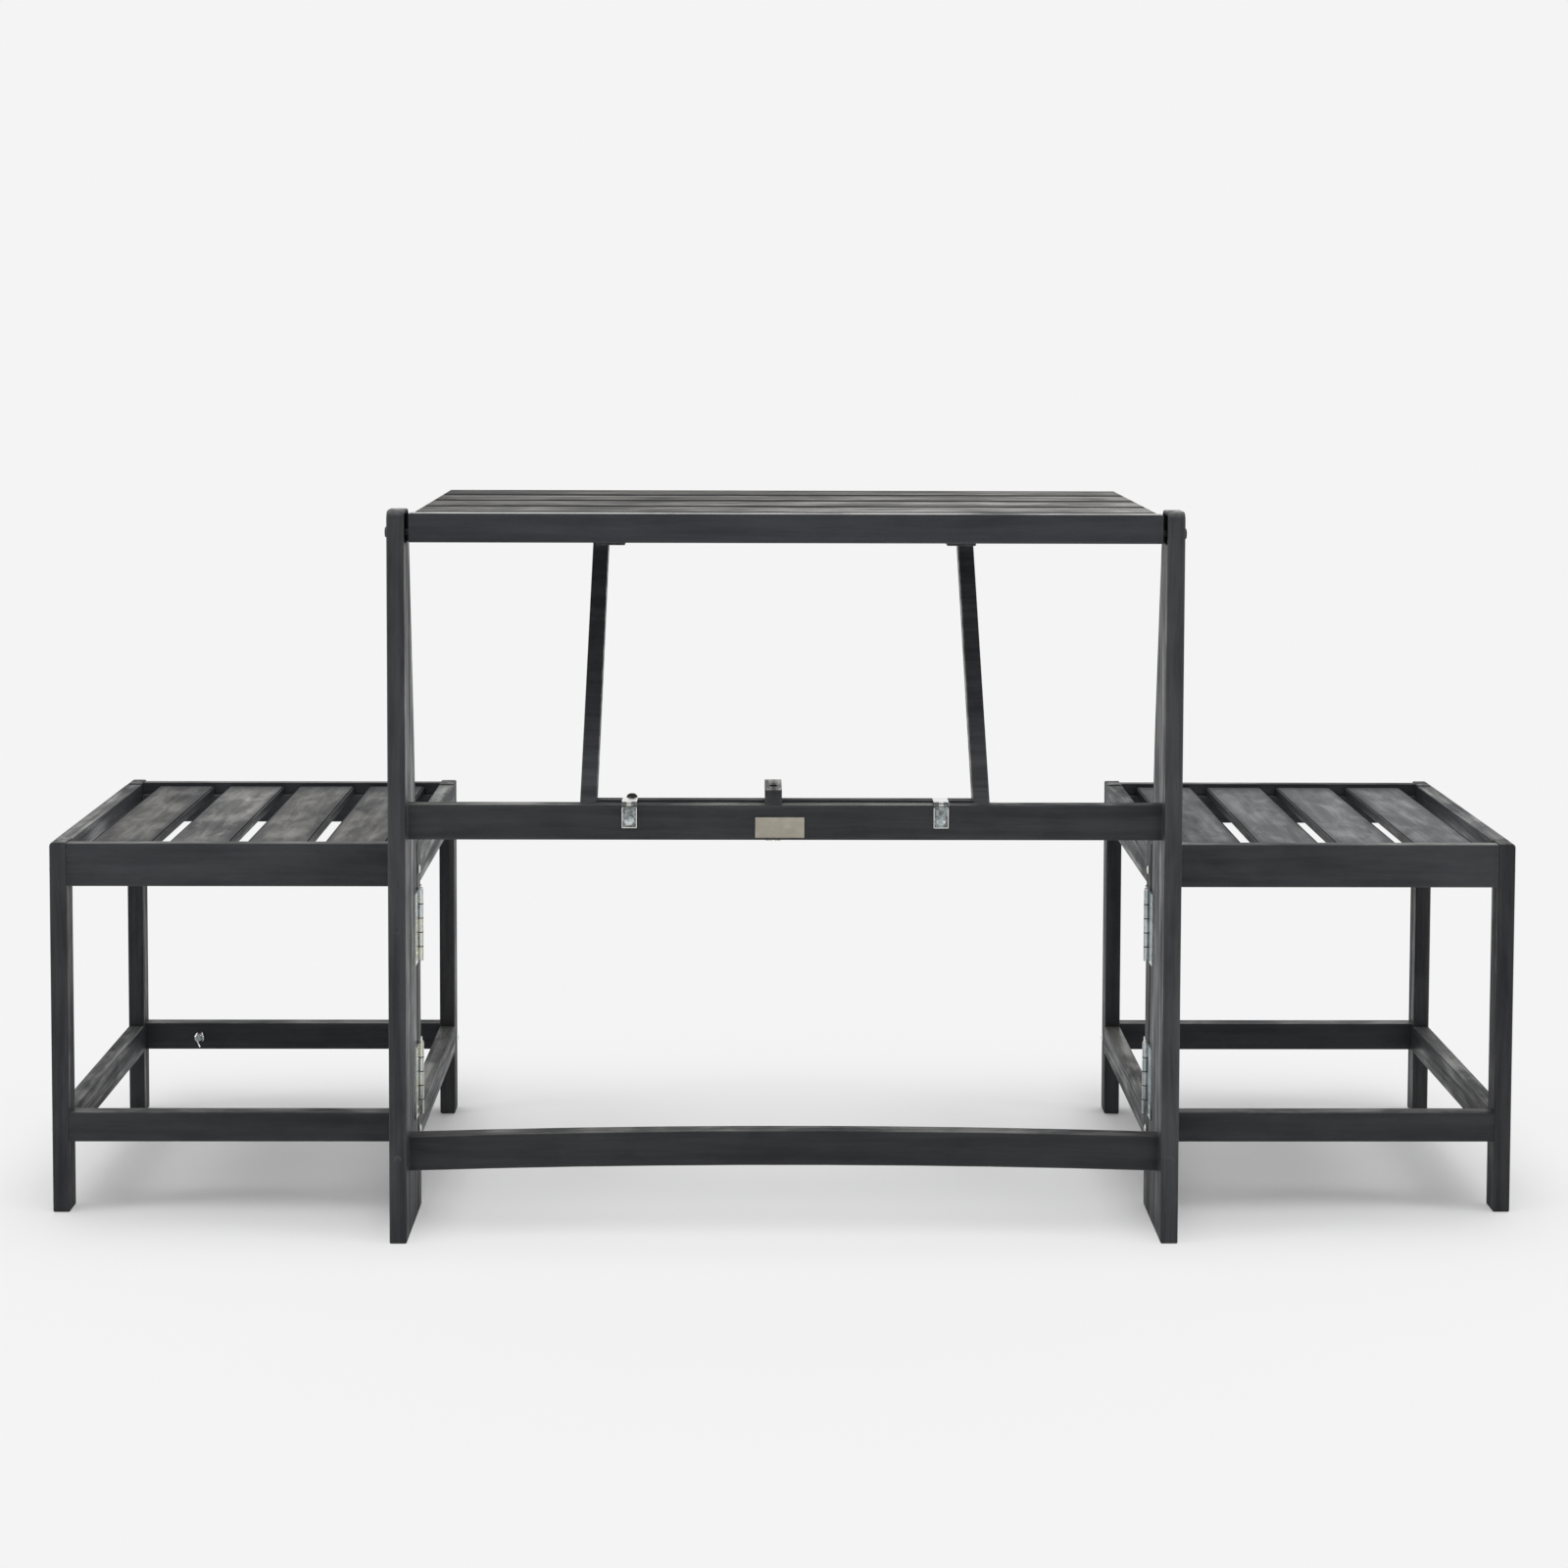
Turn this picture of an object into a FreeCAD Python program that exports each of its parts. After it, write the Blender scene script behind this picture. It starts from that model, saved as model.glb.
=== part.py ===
import FreeCAD, Part
import os
import Sketcher

# A garden bench whose back tips up into a table and whose two seats swing out.
# X runs along the bench, Y away from the viewer, Z up, all in millimetres.

doc = FreeCAD.newDocument("convertible_bench")

# Driving sizes
SIZES = [
    ("origin_y", 242, "plank front to the middle of the whole depth"),
    ("top_side", 4, "gap between the table's front rail and the planks"),
    ("plank_t", 18, "thickness of an upright plank"),
    ("plank_h", 760, "height of an upright plank"),
    ("plank_foot", 96.5, "depth of a plank at the floor"),
    ("plank_mid", 90, "depth of a plank at seat height"),
    ("plank_bend_z", 400, "height where the rear edge starts to lean"),
    ("plank_waist", 78, "depth of a plank above the middle rail"),
    ("plank_waist_z", 520, "height of that waist"),
    ("plank_top", 43, "depth of a plank near the top"),
    ("plank_top_z", 732, "height where the top rounding starts"),
    ("rail_t", 18, "thickness of the cross rails"),
    ("mid_y", 18, "front face of the middle rail"),
    ("mid_z", 418, "underside of the middle rail"),
    ("mid_h", 36.4, "height of the middle rail"),
    ("low_y", 21, "front face of the lower rail"),
    ("low_z", 70, "underside of the lower rail at its ends"),
    ("low_h", 36, "height of the lower rail"),
    ("low_rise", 6, "rise of the arched lower rail at its middle"),
    ("seat_w", 390, "outer size of a seat across the bench"),
    ("seat_d", 386, "outer size of a seat front to back"),
    ("seat_y", 98, "front plane of the seats and hinge line"),
    ("seat_h", 399, "height of a seat leg"),
    ("leg_t", 18, "leg size across"),
    ("leg_d", 28, "leg size front to back"),
    ("apron_t", 18, "thickness of aprons and stretchers"),
    ("apron_h", 46, "height of an apron"),
    ("apron_drop", 1.5, "apron top below leg top"),
    ("apron_in", 2, "apron face behind leg face"),
    ("ledge", 6, "depth of the ledge that carries the slat ends"),
    ("slat_w", 66, "seat slat width"),
    ("slat_t", 10, "seat slat thickness"),
    ("slat_drop", 4, "seat slat top below apron top"),
    ("slat_side", 18.75, "space beside the outermost seat slats"),
    ("bar_z", 76, "underside of front and rear stretchers"),
    ("bar_h", 31.5, "height of front and rear stretchers"),
    ("side_z", 74, "underside of side stretchers"),
    ("side_h", 32, "height of side stretchers"),
    ("top_half", 386, "half length of the table front rail"),
    ("slat_in", 3, "table slat end inside the front rail's end"),
    ("top_y", 3, "front face of the table front rail"),
    ("top_z", 757, "height of the table top"),
    ("top_d", 358, "depth of the table top"),
    ("top_rail_h", 30, "height of the table front rail"),
    ("top_slat_t", 15, "table slat thickness"),
    ("top_gap", 8, "gap between table slats"),
    ("top_first", 5, "gap behind the table front rail"),
    ("batten_in", 165.5, "centre to inner face of a batten"),
    ("batten_w", 30, "batten width"),
    ("batten_h", 19, "batten height"),
    ("batten_end", 11, "batten end ahead of the table rear edge"),
    ("hinge_y", 12, "table pivot, distance behind the plank front"),
    ("hinge_z", 737, "table pivot height"),
    ("arm_in", 196.5, "centre to inner face of a prop arm"),
    ("arm_t", 17, "prop arm size across"),
    ("arm_d", 20, "prop arm depth"),
    ("prop_y", 321, "prop pivot, distance behind the plank front"),
    ("prop_z", 731, "prop pivot height"),
    ("cross_y", 37.2, "front face of the prop crossbar"),
    ("cross_t", 15, "thickness of the prop crossbar"),
    ("cross_z", 419, "underside of the prop crossbar"),
    ("cross_h", 37, "height of the prop crossbar"),
    ("block_x", -12.3, "centre of the stop block"),
    ("block_w", 17.6, "stop block width"),
    ("block_d", 65.6, "stop block length"),
    ("block_h", 15.6, "stop block height"),
    ("pin_y", 45, "pin hole in the stop block and crossbar"),
    ("leaf_t", 1.6, "hinge leaf thickness"),
    ("leaf_h", 76, "seat hinge height"),
    ("leaf_w", 22.6, "seat hinge leaf width"),
    ("knuckle_off", 3.5, "seat hinge axis in front of the leg inner face"),
    ("knuckle_r", 3.1, "seat hinge knuckle radius"),
    ("upper_hinge_z", 273, "underside of the upper seat hinges"),
    ("lower_hinge_z", 108, "underside of the lower seat hinges"),
    ("latch_x", 161, "centre of a latch"),
    ("latch_w", 15.6, "latch width"),
    ("latch_y", 15.2, "latch hinge line, distance behind the plank front"),
    ("latch_z", 455.6, "latch hinge line height"),
    ("latch_r", 2.4, "latch knuckle radius"),
    ("latch_base_z", 430.6, "underside of a latch base"),
    ("flap_end", 42, "rear end of a latch flap"),
    ("lock_in", 84, "seat lock bolt in from the seat's outer face"),
    ("lock_z", 92, "height of the seat lock bolt"),
    ("bolt_r", 3, "radius of the pivot and lock bolts"),
    ("fit", 0.05, "radial running clearance on pivots"),
]
sheet = doc.addObject("Spreadsheet::Sheet", "sizes")
for row, (alias, value, note) in enumerate(SIZES, 1):
    sheet.set("A%d" % row, alias)
    sheet.set("B%d" % row, str(value))
    sheet.setAlias("B%d" % row, alias)
    sheet.set("C%d" % row, note)
doc.recompute()


class Size:
    """A number that remembers the formula it came from."""

    def __init__(self, value, text):
        self.value, self.text = float(value), text

    def __add__(self, other):
        other = size(other)
        return Size(self.value + other.value, "(%s + %s)" % (self.text, other.text))

    def __sub__(self, other):
        other = size(other)
        return Size(self.value - other.value, "(%s - %s)" % (self.text, other.text))

    def __mul__(self, other):
        other = size(other)
        return Size(self.value * other.value, "(%s * %s)" % (self.text, other.text))

    def __truediv__(self, other):
        other = size(other)
        return Size(self.value / other.value, "(%s / %s)" % (self.text, other.text))

    def __radd__(self, other):
        return size(other) + self

    def __rsub__(self, other):
        return size(other) - self

    def __rmul__(self, other):
        return size(other) * self

    def __neg__(self):
        return Size(-self.value, "(0 - %s)" % self.text)

    def root(self):
        return Size(self.value ** 0.5, "sqrt(%s)" % self.text)


def size(thing):
    if isinstance(thing, Size):
        return thing
    return Size(thing, repr(float(thing)) if thing >= 0 else "(0 - %r)" % float(-thing))


S = {alias: Size(value, "sizes." + alias) for alias, value, note in SIZES}


def bind(thing, prop, amount):
    thing.setExpression(prop, size(amount).text)


def at(thing, x, y, z):
    y = size(y) - S["origin_y"]
    spot = FreeCAD.Vector(size(x).value, y.value, size(z).value)
    thing.Placement = FreeCAD.Placement(spot, thing.Placement.Rotation)
    bind(thing, "Placement.Base.x", x)
    bind(thing, "Placement.Base.y", y)
    bind(thing, "Placement.Base.z", z)
    return thing


def block(name, x, y, z, dx, dy, dz):
    thing = doc.addObject("Part::Box", name)
    for prop, amount in (("Length", dx), ("Width", dy), ("Height", dz)):
        setattr(thing, prop, size(amount).value)
        bind(thing, prop, amount)
    return at(thing, x, y, z)


TURNS = {
    "x": FreeCAD.Rotation(FreeCAD.Vector(0, 1, 0), 90),
    "y": FreeCAD.Rotation(FreeCAD.Vector(-1, 0, 0), 90),
    "z": FreeCAD.Rotation(),
}


def rod(name, axis, x, y, z, radius, length):
    thing = doc.addObject("Part::Cylinder", name)
    thing.Placement = FreeCAD.Placement(FreeCAD.Vector(), TURNS[axis])
    thing.Radius, thing.Height = size(radius).value, size(length).value
    bind(thing, "Radius", radius)
    bind(thing, "Height", length)
    return at(thing, x, y, z)


def soften(thing, radius, keep=None, worn=None):
    """Round the edges of a piece, or only those that keep() accepts, and more where worn()
    gives a larger radius."""
    doc.recompute()
    edges = []
    for number, edge in enumerate(thing.Shape.Edges, 1):
        if keep is None or keep(edge):
            r = worn(edge) if worn else radius
            edges.append((number, r, r))
    result = doc.addObject("Part::Fillet", thing.Name + "_soft")
    result.Base = thing
    result.Edges = edges
    return result


def cap(thing, end):
    """Accepts the rim at the start or the end of a rod."""
    axis = thing.Placement.Rotation.multVec(FreeCAD.Vector(0, 0, 1))
    where = thing.Placement.Base + axis * (thing.Height.Value if end else 0)
    return lambda edge: (edge.Curve.TypeId == "Part::GeomCircle" and
                         abs((edge.Curve.Center - where).dot(axis)) < 0.05)


def button(name, axis, x, y, z, radius, length, rounding, end):
    """A round head with one rim rounded over."""
    head = rod(name, axis, x, y, z, radius, length)
    return soften(head, rounding, cap(head, end))


def join(name, pieces):
    thing = doc.addObject("Part::MultiFuse", name)
    thing.Shapes = pieces
    return thing


def cut(name, base, tools):
    tool = tools[0] if len(tools) == 1 else join(name + "_tools", tools)
    thing = doc.addObject("Part::Cut", name)
    thing.Base, thing.Tool = base, tool
    return thing


def outline(name, points, x, thickness):
    """A flat piece with the given Y-Z corners, thickened along X."""
    sketch = doc.addObject("Sketcher::SketchObject", name + "_outline")
    sketch.Placement = FreeCAD.Placement(FreeCAD.Vector(), FreeCAD.Rotation(0.5, 0.5, 0.5, 0.5))
    at(sketch, x, 0, 0)
    corners = [(size(u), size(v)) for u, v in points]
    count = len(corners)
    for i in range(count):
        (u0, v0), (u1, v1) = corners[i], corners[(i + 1) % count]
        start = FreeCAD.Vector(u0.value, v0.value, 0)
        sketch.addGeometry(Part.LineSegment(start, FreeCAD.Vector(u1.value, v1.value, 0)))
    for i in range(count):
        sketch.addConstraint(Sketcher.Constraint("Coincident", i, 2, (i + 1) % count, 1))
    for i, (u, v) in enumerate(corners):
        for kind, amount in (("DistanceX", u), ("DistanceY", v)):
            mark = sketch.addConstraint(Sketcher.Constraint(kind, -1, 1, i, 1, amount.value))
            sketch.setExpression("Constraints[%d]" % mark, amount.text)
    thing = doc.addObject("Part::Extrusion", name)
    thing.Base, thing.DirMode, thing.Dir = sketch, "Custom", FreeCAD.Vector(1, 0, 0)
    thing.Solid, thing.LengthFwd = True, size(thickness).value
    bind(thing, "LengthFwd", thickness)
    return thing


NODES = {}


def node(name, thing):
    thing.Label = name
    NODES[name] = thing


def group(name, pieces):
    thing = doc.addObject("Part::Compound", name)
    thing.Links = pieces
    node(name, thing)


def span(side, near, far):
    """Start and width of a piece between two distances from the centre."""
    near, far = size(near), size(far)
    return (near if side > 0 else -far), far - near


SIDES = (("left", -1), ("right", 1))
plank_in = S["top_half"] + S["top_side"]
plank_out = plank_in + S["plank_t"]
mid_top = S["mid_z"] + S["mid_h"]
leg_in = plank_in
leg_out = plank_in + S["seat_w"]
apron_top = S["seat_h"] - S["apron_drop"]
apron_z = apron_top - S["apron_h"]
slat_z = apron_top - S["slat_drop"] - S["slat_t"]
seat_rear = S["seat_y"] + S["seat_d"]
slat_bottom = S["top_z"] - S["top_slat_t"]
batten_z = slat_bottom - S["batten_h"]
batten_out = S["batten_in"] + S["batten_w"]
arm_out = S["arm_in"] + S["arm_t"]
lock_x = leg_out - S["lock_in"]
pin_x = plank_in - S["knuckle_off"]
cross_mid_y = S["cross_y"] + S["cross_t"] / 2
cross_mid_z = S["cross_z"] + S["cross_h"] / 2
mid_mid_y = S["mid_y"] + S["rail_t"] / 2
low_mid_y = S["low_y"] + S["rail_t"] / 2


def along_x(side, near, far):
    """Start point and length for a rod between two distances from the centre."""
    return span(side, near, far)


# Upright planks
rail_bolt_spots = [
    (mid_mid_y, S["mid_z"] + 9), (mid_mid_y, S["mid_z"] + 27.4),
    (low_mid_y, S["low_z"] + 9.5), (low_mid_y, S["low_z"] + 27),
]
hinge_spots = (("upper", S["upper_hinge_z"]), ("lower", S["lower_hinge_z"]))
screw_heights = (12, 64)
bolt_heads = []
pivots = []
hinge_screws = []
for label, side in SIDES:
    x, w = span(side, plank_in, plank_out)
    plank = outline("plank_%s_board" % label, [
        (0, 0), (S["plank_foot"], 0), (S["plank_mid"], S["plank_bend_z"]),
        (S["plank_waist"], S["plank_waist_z"]), (S["plank_top"], S["plank_top_z"]),
        (S["plank_top"] - 3, S["plank_h"]), (0, S["plank_h"])], x, w)
    doc.recompute()
    top = S["plank_h"].value
    plank = soften(plank, 9, lambda e: len(e.Vertexes) == 2 and
                   all(abs(v.Z - top) < 0.1 for v in e.Vertexes) and
                   abs(e.Vertexes[0].X - e.Vertexes[1].X) > 5)
    plank = soften(plank, 1.6, lambda e: abs(e.BoundBox.XLength) < 0.01)
    holes = []
    x, w = along_x(side, plank_in - 1, plank_out + 1)
    holes.append(rod("plank_%s_pivot_hole" % label, "x", x, S["hinge_y"], S["hinge_z"],
                     S["bolt_r"] + S["fit"], w))
    for i, (y, z) in enumerate(rail_bolt_spots):
        holes.append(rod("plank_%s_hole_%d" % (label, i), "x", x, y, z, 2.5, w))
        bx, bw = along_x(side, plank_in - 40, plank_out + 0.2)
        hx, hw = along_x(side, plank_out, plank_out + 3)
        bolt_heads.append(join("rail_bolt_%s_%d" % (label, i), [
            rod("rail_bolt_%s_%d_shank" % (label, i), "x", bx, y, z, 2.5, bw),
            button("rail_bolt_%s_%d_head" % (label, i), "x", hx, y, z, 5.5, hw, 1.1,
                   side > 0)]))
    for spot, z0 in hinge_spots:
        for i, dz in enumerate(screw_heights):
            sx, sw = along_x(side, plank_in, plank_in + 13)
            holes.append(rod("plank_%s_%s_pilot_%d" % (label, spot, i), "x",
                             sx, S["seat_y"] - 17, z0 + dz, 1.5, sw))
            hx, hw = along_x(side, plank_in - 1.9, plank_in - 0.4)
            sx, sw = along_x(side, plank_in - 0.6, plank_in + 13)
            hinge_screws.append(join("hinge_screw_%s_%s_%d" % (label, spot, i), [
                rod("hinge_screw_%s_%s_%d_head" % (label, spot, i), "x",
                    hx, S["seat_y"] - 17, z0 + dz, 3, hw),
                rod("hinge_screw_%s_%s_%d_shank" % (label, spot, i), "x",
                    sx, S["seat_y"] - 17, z0 + dz, 1.5, sw)]))
    node("plank_" + label, cut("plank_" + label, plank, holes))
    x, w = along_x(side, S["top_half"] - 30, plank_out)
    hx, hw = along_x(side, plank_out, plank_out + 2.5)
    pivots.append(join("table_pivot_bolt_" + label, [
        rod("table_pivot_%s_shaft" % label, "x", x, S["hinge_y"], S["hinge_z"],
            S["bolt_r"], w),
        button("table_pivot_%s_head" % label, "x", hx, S["hinge_y"], S["hinge_z"],
               5.6, hw, 1.2, side > 0)]))
group("rail_bolts", bolt_heads)
group("table_pivot_bolts", pivots)
group("hinge_screws", hinge_screws)

# Middle rail with its stop block
rail = soften(block("mid_rail_board", -plank_in, S["mid_y"], S["mid_z"],
                    plank_in * 2, S["rail_t"], S["mid_h"]), 1.2,
              lambda e: e.BoundBox.XLength > 100)
holes = []
for label, side in SIDES:
    for i, (y, z) in enumerate(rail_bolt_spots[:2]):
        x, w = along_x(side, plank_in - 40, plank_in + 1)
        holes.append(rod("mid_rail_hole_%s_%d" % (label, i), "x", x, y, z, 2.5, w))
    holes.append(rod("mid_rail_latch_hole_" + label, "y", side * S["latch_x"], S["mid_y"],
                     S["latch_base_z"] + 8, 1.6, 13))
for i, dx in enumerate((-4.5, 4.5)):
    holes.append(rod("mid_rail_block_hole_%d" % i, "z", S["block_x"] + dx, mid_mid_y,
                     S["mid_z"], 1.8, S["mid_h"] + 0.1))
node("mid_rail", cut("mid_rail", rail, holes))

body = soften(block("stop_block_body", S["block_x"] - S["block_w"] / 2, S["mid_y"] + 0.4,
                    mid_top, S["block_w"], S["block_d"], S["block_h"]), 0.9)
tools = [
    block("stop_block_step", S["block_x"] - S["block_w"], S["mid_y"] + S["rail_t"], mid_top - 1,
          S["block_w"] * 2, S["block_d"], S["cross_z"] + S["cross_h"] - mid_top + 1.4),
    rod("stop_block_pin_hole", "z", S["block_x"], S["pin_y"], mid_top, 4.3, 30),
]
for i, dx in enumerate((-4.5, 4.5)):
    tools.append(rod("stop_block_hole_%d" % i, "z", S["block_x"] + dx, mid_mid_y,
                     mid_top - 1, 1.8, 11))
node("stop_block", cut("stop_block", body, tools))

# Lower rail, bowed upwards
radius = plank_in * plank_in / (S["low_rise"] * 2) + S["low_rise"] / 2
middle = S["low_z"] + S["low_rise"]
board = block("lower_rail_board", -plank_in, S["low_y"], S["low_z"] - S["low_rise"],
              plank_in * 2, S["rail_t"], S["low_h"] + S["low_rise"] * 3)
under = rod("lower_rail_under", "y", 0, S["low_y"] - 1, middle - radius, radius,
            S["rail_t"] + 2)
over = rod("lower_rail_over", "y", 0, S["low_y"] - 1, middle + S["low_h"] - radius, radius,
           S["rail_t"] + 2)
arched = doc.addObject("Part::Common", "lower_rail_crown")
arched.Base, arched.Tool = cut("lower_rail_arch", board, [under]), over
holes = []
for label, side in SIDES:
    for i, (y, z) in enumerate(rail_bolt_spots[2:]):
        x, w = along_x(side, plank_in - 40, plank_in + 1)
        holes.append(rod("lower_rail_hole_%s_%d" % (label, i), "x", x, y, z, 2.5, w))
node("lower_rail", cut("lower_rail", arched, holes))

# Latches that hold the prop crossbar behind the middle rail
bases, latch_screws = [], []
third = S["latch_w"] / 3
for label, side in SIDES:
    left = side * S["latch_x"] - S["latch_w"] / 2
    y, z = S["latch_y"], S["latch_z"]
    pieces = [block("latch_base_%s_leaf" % label, left, S["mid_y"] - S["leaf_t"],
                    S["latch_base_z"], S["latch_w"], S["leaf_t"],
                    z - S["latch_r"] - 0.4 - S["latch_base_z"])]
    for i in (0, 2):
        x = left + third * i
        pieces.append(rod("latch_base_%s_knuckle_%d" % (label, i), "x", x, y, z,
                          S["latch_r"], third - 0.3 if i == 0 else third))
        pieces.append(block("latch_base_%s_ear_%d" % (label, i), x, S["mid_y"] - S["leaf_t"],
                            z - S["latch_r"] - 1, third - 0.3 if i == 0 else third,
                            1.2, S["latch_r"] + 1))
    pieces.append(rod("latch_base_%s_pin" % label, "x", left - 0.4, y, z, 1,
                      S["latch_w"] + 0.8))
    bases.append(cut("latch_base_" + label, join("latch_base_%s_body" % label, pieces), [
        rod("latch_base_%s_screw_hole" % label, "y", side * S["latch_x"],
            S["mid_y"] - 3, S["latch_base_z"] + 8, 1.6, 4)]))
    latch_screws.append(join("latch_screw_" + label, [
        rod("latch_screw_%s_shank" % label, "y", side * S["latch_x"],
            S["mid_y"] - S["leaf_t"] - 0.2, S["latch_base_z"] + 8, 1.6, 14),
        button("latch_screw_%s_head" % label, "y", side * S["latch_x"],
               S["mid_y"] - S["leaf_t"] - 1.8, S["latch_base_z"] + 8, 4.8, 1.8, 1.2,
               False)]))
    flap = [
        rod("latch_flap_%s_knuckle" % label, "x", left + third + 0.05, y, z,
            S["latch_r"], third - 0.4),
        block("latch_flap_%s_ear" % label, left + third + 0.05, y, z + S["latch_r"] - 1.6,
              third - 0.4, 5, 1.6),
        block("latch_flap_%s_leaf" % label, left, y + S["latch_r"] + 0.4,
              z + S["latch_r"] - 1.6, S["latch_w"], S["flap_end"] - y - S["latch_r"] - 0.4, 1.6),
    ]
    node("latch_flap_" + label, cut("latch_flap_" + label,
         join("latch_flap_%s_body" % label, flap), [
             rod("latch_flap_%s_bore" % label, "x", left, y, z, 1 + S["fit"],
                 S["latch_w"])]))
group("latch_bases", bases)
group("latch_screws", latch_screws)
block_screws = []
for i, dx in enumerate((-4.5, 4.5)):
    x = S["block_x"] + dx
    block_screws.append(join("block_screw_%d" % i, [
        rod("block_screw_%d_shank" % i, "z", x, mid_mid_y, S["mid_z"] - 0.2, 1.8,
            S["mid_h"] + 10),
        rod("block_screw_%d_head" % i, "z", x, mid_mid_y, S["mid_z"] - 1.8, 3.4, 1.8)]))
group("block_screws", block_screws)

# Seat hinges, leaves fixed to the planks and leaves fixed to the seats
knuckle_h = S["leaf_h"] / 5
hinge_pins = []
for label, side in SIDES:
    fixed, moving = [], []
    axis_x = side * pin_x
    lx, lw = span(side, plank_in - S["leaf_t"], plank_in)
    ex, ew = span(side, pin_x - 0.2, plank_in)
    for spot, z0 in hinge_spots:
        for kind, near, far, knuckles, store in (
                ("fixed", S["seat_y"] - S["knuckle_r"] - 0.3 - S["leaf_w"],
                 S["seat_y"] - S["knuckle_r"] - 0.3, (0, 2, 4), fixed),
                ("seat", S["seat_y"] + S["knuckle_r"] + 0.3,
                 S["seat_y"] + S["knuckle_r"] + 0.3 + S["leaf_w"], (1, 3), moving)):
            name = "hinge_%s_%s_%s" % (label, spot, kind)
            pieces = [block(name + "_leaf", lx, near, z0, lw, far - near, S["leaf_h"])]
            for i in knuckles:
                z = z0 + knuckle_h * i + (0 if i == 0 else 0.15)
                h = knuckle_h - (0.15 if i in (0, 4) else 0.3)
                pieces.append(rod(name + "_knuckle_%d" % i, "z", axis_x, S["seat_y"], z,
                                  S["knuckle_r"], h))
                if kind == "fixed":
                    pieces.append(block(name + "_ear_%d" % i, lx, far - 1, z, lw,
                                        S["seat_y"] - far + 1, h))
                else:
                    pieces.append(block(name + "_ear_%d" % i, lx, S["seat_y"], z, lw,
                                        near - S["seat_y"] + 1, h))
            bore = 1.6 if kind == "fixed" else S["fit"] + 1.6
            mid = S["seat_y"] - 17 if kind == "fixed" else S["seat_y"] + 16
            tools = [rod(name + "_bore", "z", axis_x, S["seat_y"], z0 - 1, bore,
                         S["leaf_h"] + 2)]
            for i, dz in enumerate(screw_heights):
                hx, hw = along_x(side, plank_in - 2, plank_in - 0.4)
                sx, sw = along_x(side, plank_in - 2, plank_in + 1)
                tools.append(rod(name + "_sink_%d" % i, "x", hx, mid, z0 + dz, 3, hw))
                tools.append(rod(name + "_hole_%d" % i, "x", sx, mid, z0 + dz, 1.5, sw))
            store.append(cut(name, join(name + "_body", pieces), tools))
        hinge_pins.append(join("hinge_pin_%s_%s" % (label, spot), [
            rod("hinge_pin_%s_%s_rod" % (label, spot), "z", axis_x, S["seat_y"], z0 - 0.6,
                1.6, S["leaf_h"] + 1.2),
            rod("hinge_pin_%s_%s_head" % (label, spot), "z", axis_x, S["seat_y"],
                z0 + S["leaf_h"], 2.6, 1.8)]))
    group("hinge_leaves_" + label, fixed)
    group("seat_%s_hinge_leaves" % label, moving)
group("hinge_pins", hinge_pins)

# Table top
front = soften(block("table_rail_board", -S["top_half"], S["top_y"],
                     S["top_z"] - S["top_rail_h"], S["top_half"] * 2, S["rail_t"],
                     S["top_rail_h"]), 1.2)
holes = []
for label, side in SIDES:
    x, w = along_x(side, S["top_half"] - 30.2, S["top_half"] + 1)
    holes.append(rod("table_rail_hole_" + label, "x", x, S["hinge_y"], S["hinge_z"],
                     S["bolt_r"] + S["fit"], w))
node("table_front_rail", cut("table_front_rail", front, holes))
slats_y = S["top_y"] + S["rail_t"] + S["top_first"]
slats_end = S["top_y"] + S["top_d"]
slat_depth = (slats_end - slats_y - S["top_gap"] * 3) / 4
slat_half = S["top_half"] - S["slat_in"]
boards, table_screws = [], []
batten_x = S["batten_in"] + S["batten_w"] / 2
for i in range(4):
    y = slats_y + (slat_depth + S["top_gap"]) * i
    board = soften(block("table_slat_%d_board" % (i + 1), -slat_half, y, slat_bottom,
                         slat_half * 2, slat_depth, S["top_slat_t"]), 2.4)
    holes = []
    for label, side in SIDES:
        spot = (side * batten_x, y + slat_depth / 3)
        holes.append(rod("table_slat_%d_hole_%s" % (i + 1, label), "z", spot[0], spot[1],
                         slat_bottom - 1, 1.8, 11))
        name = "table_screw_%d_%s" % (i + 1, label)
        table_screws.append(join(name, [
            rod(name + "_shank", "z", spot[0], spot[1], batten_z + 1, 1.8,
                S["batten_h"] + 9),
            rod(name + "_head", "z", spot[0], spot[1], batten_z, 3.6, 2)]))
    boards.append(cut("table_slat_%d" % (i + 1), board, holes))
group("table_slats", boards)
group("table_screws", table_screws)
prop_bolts = []
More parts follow.
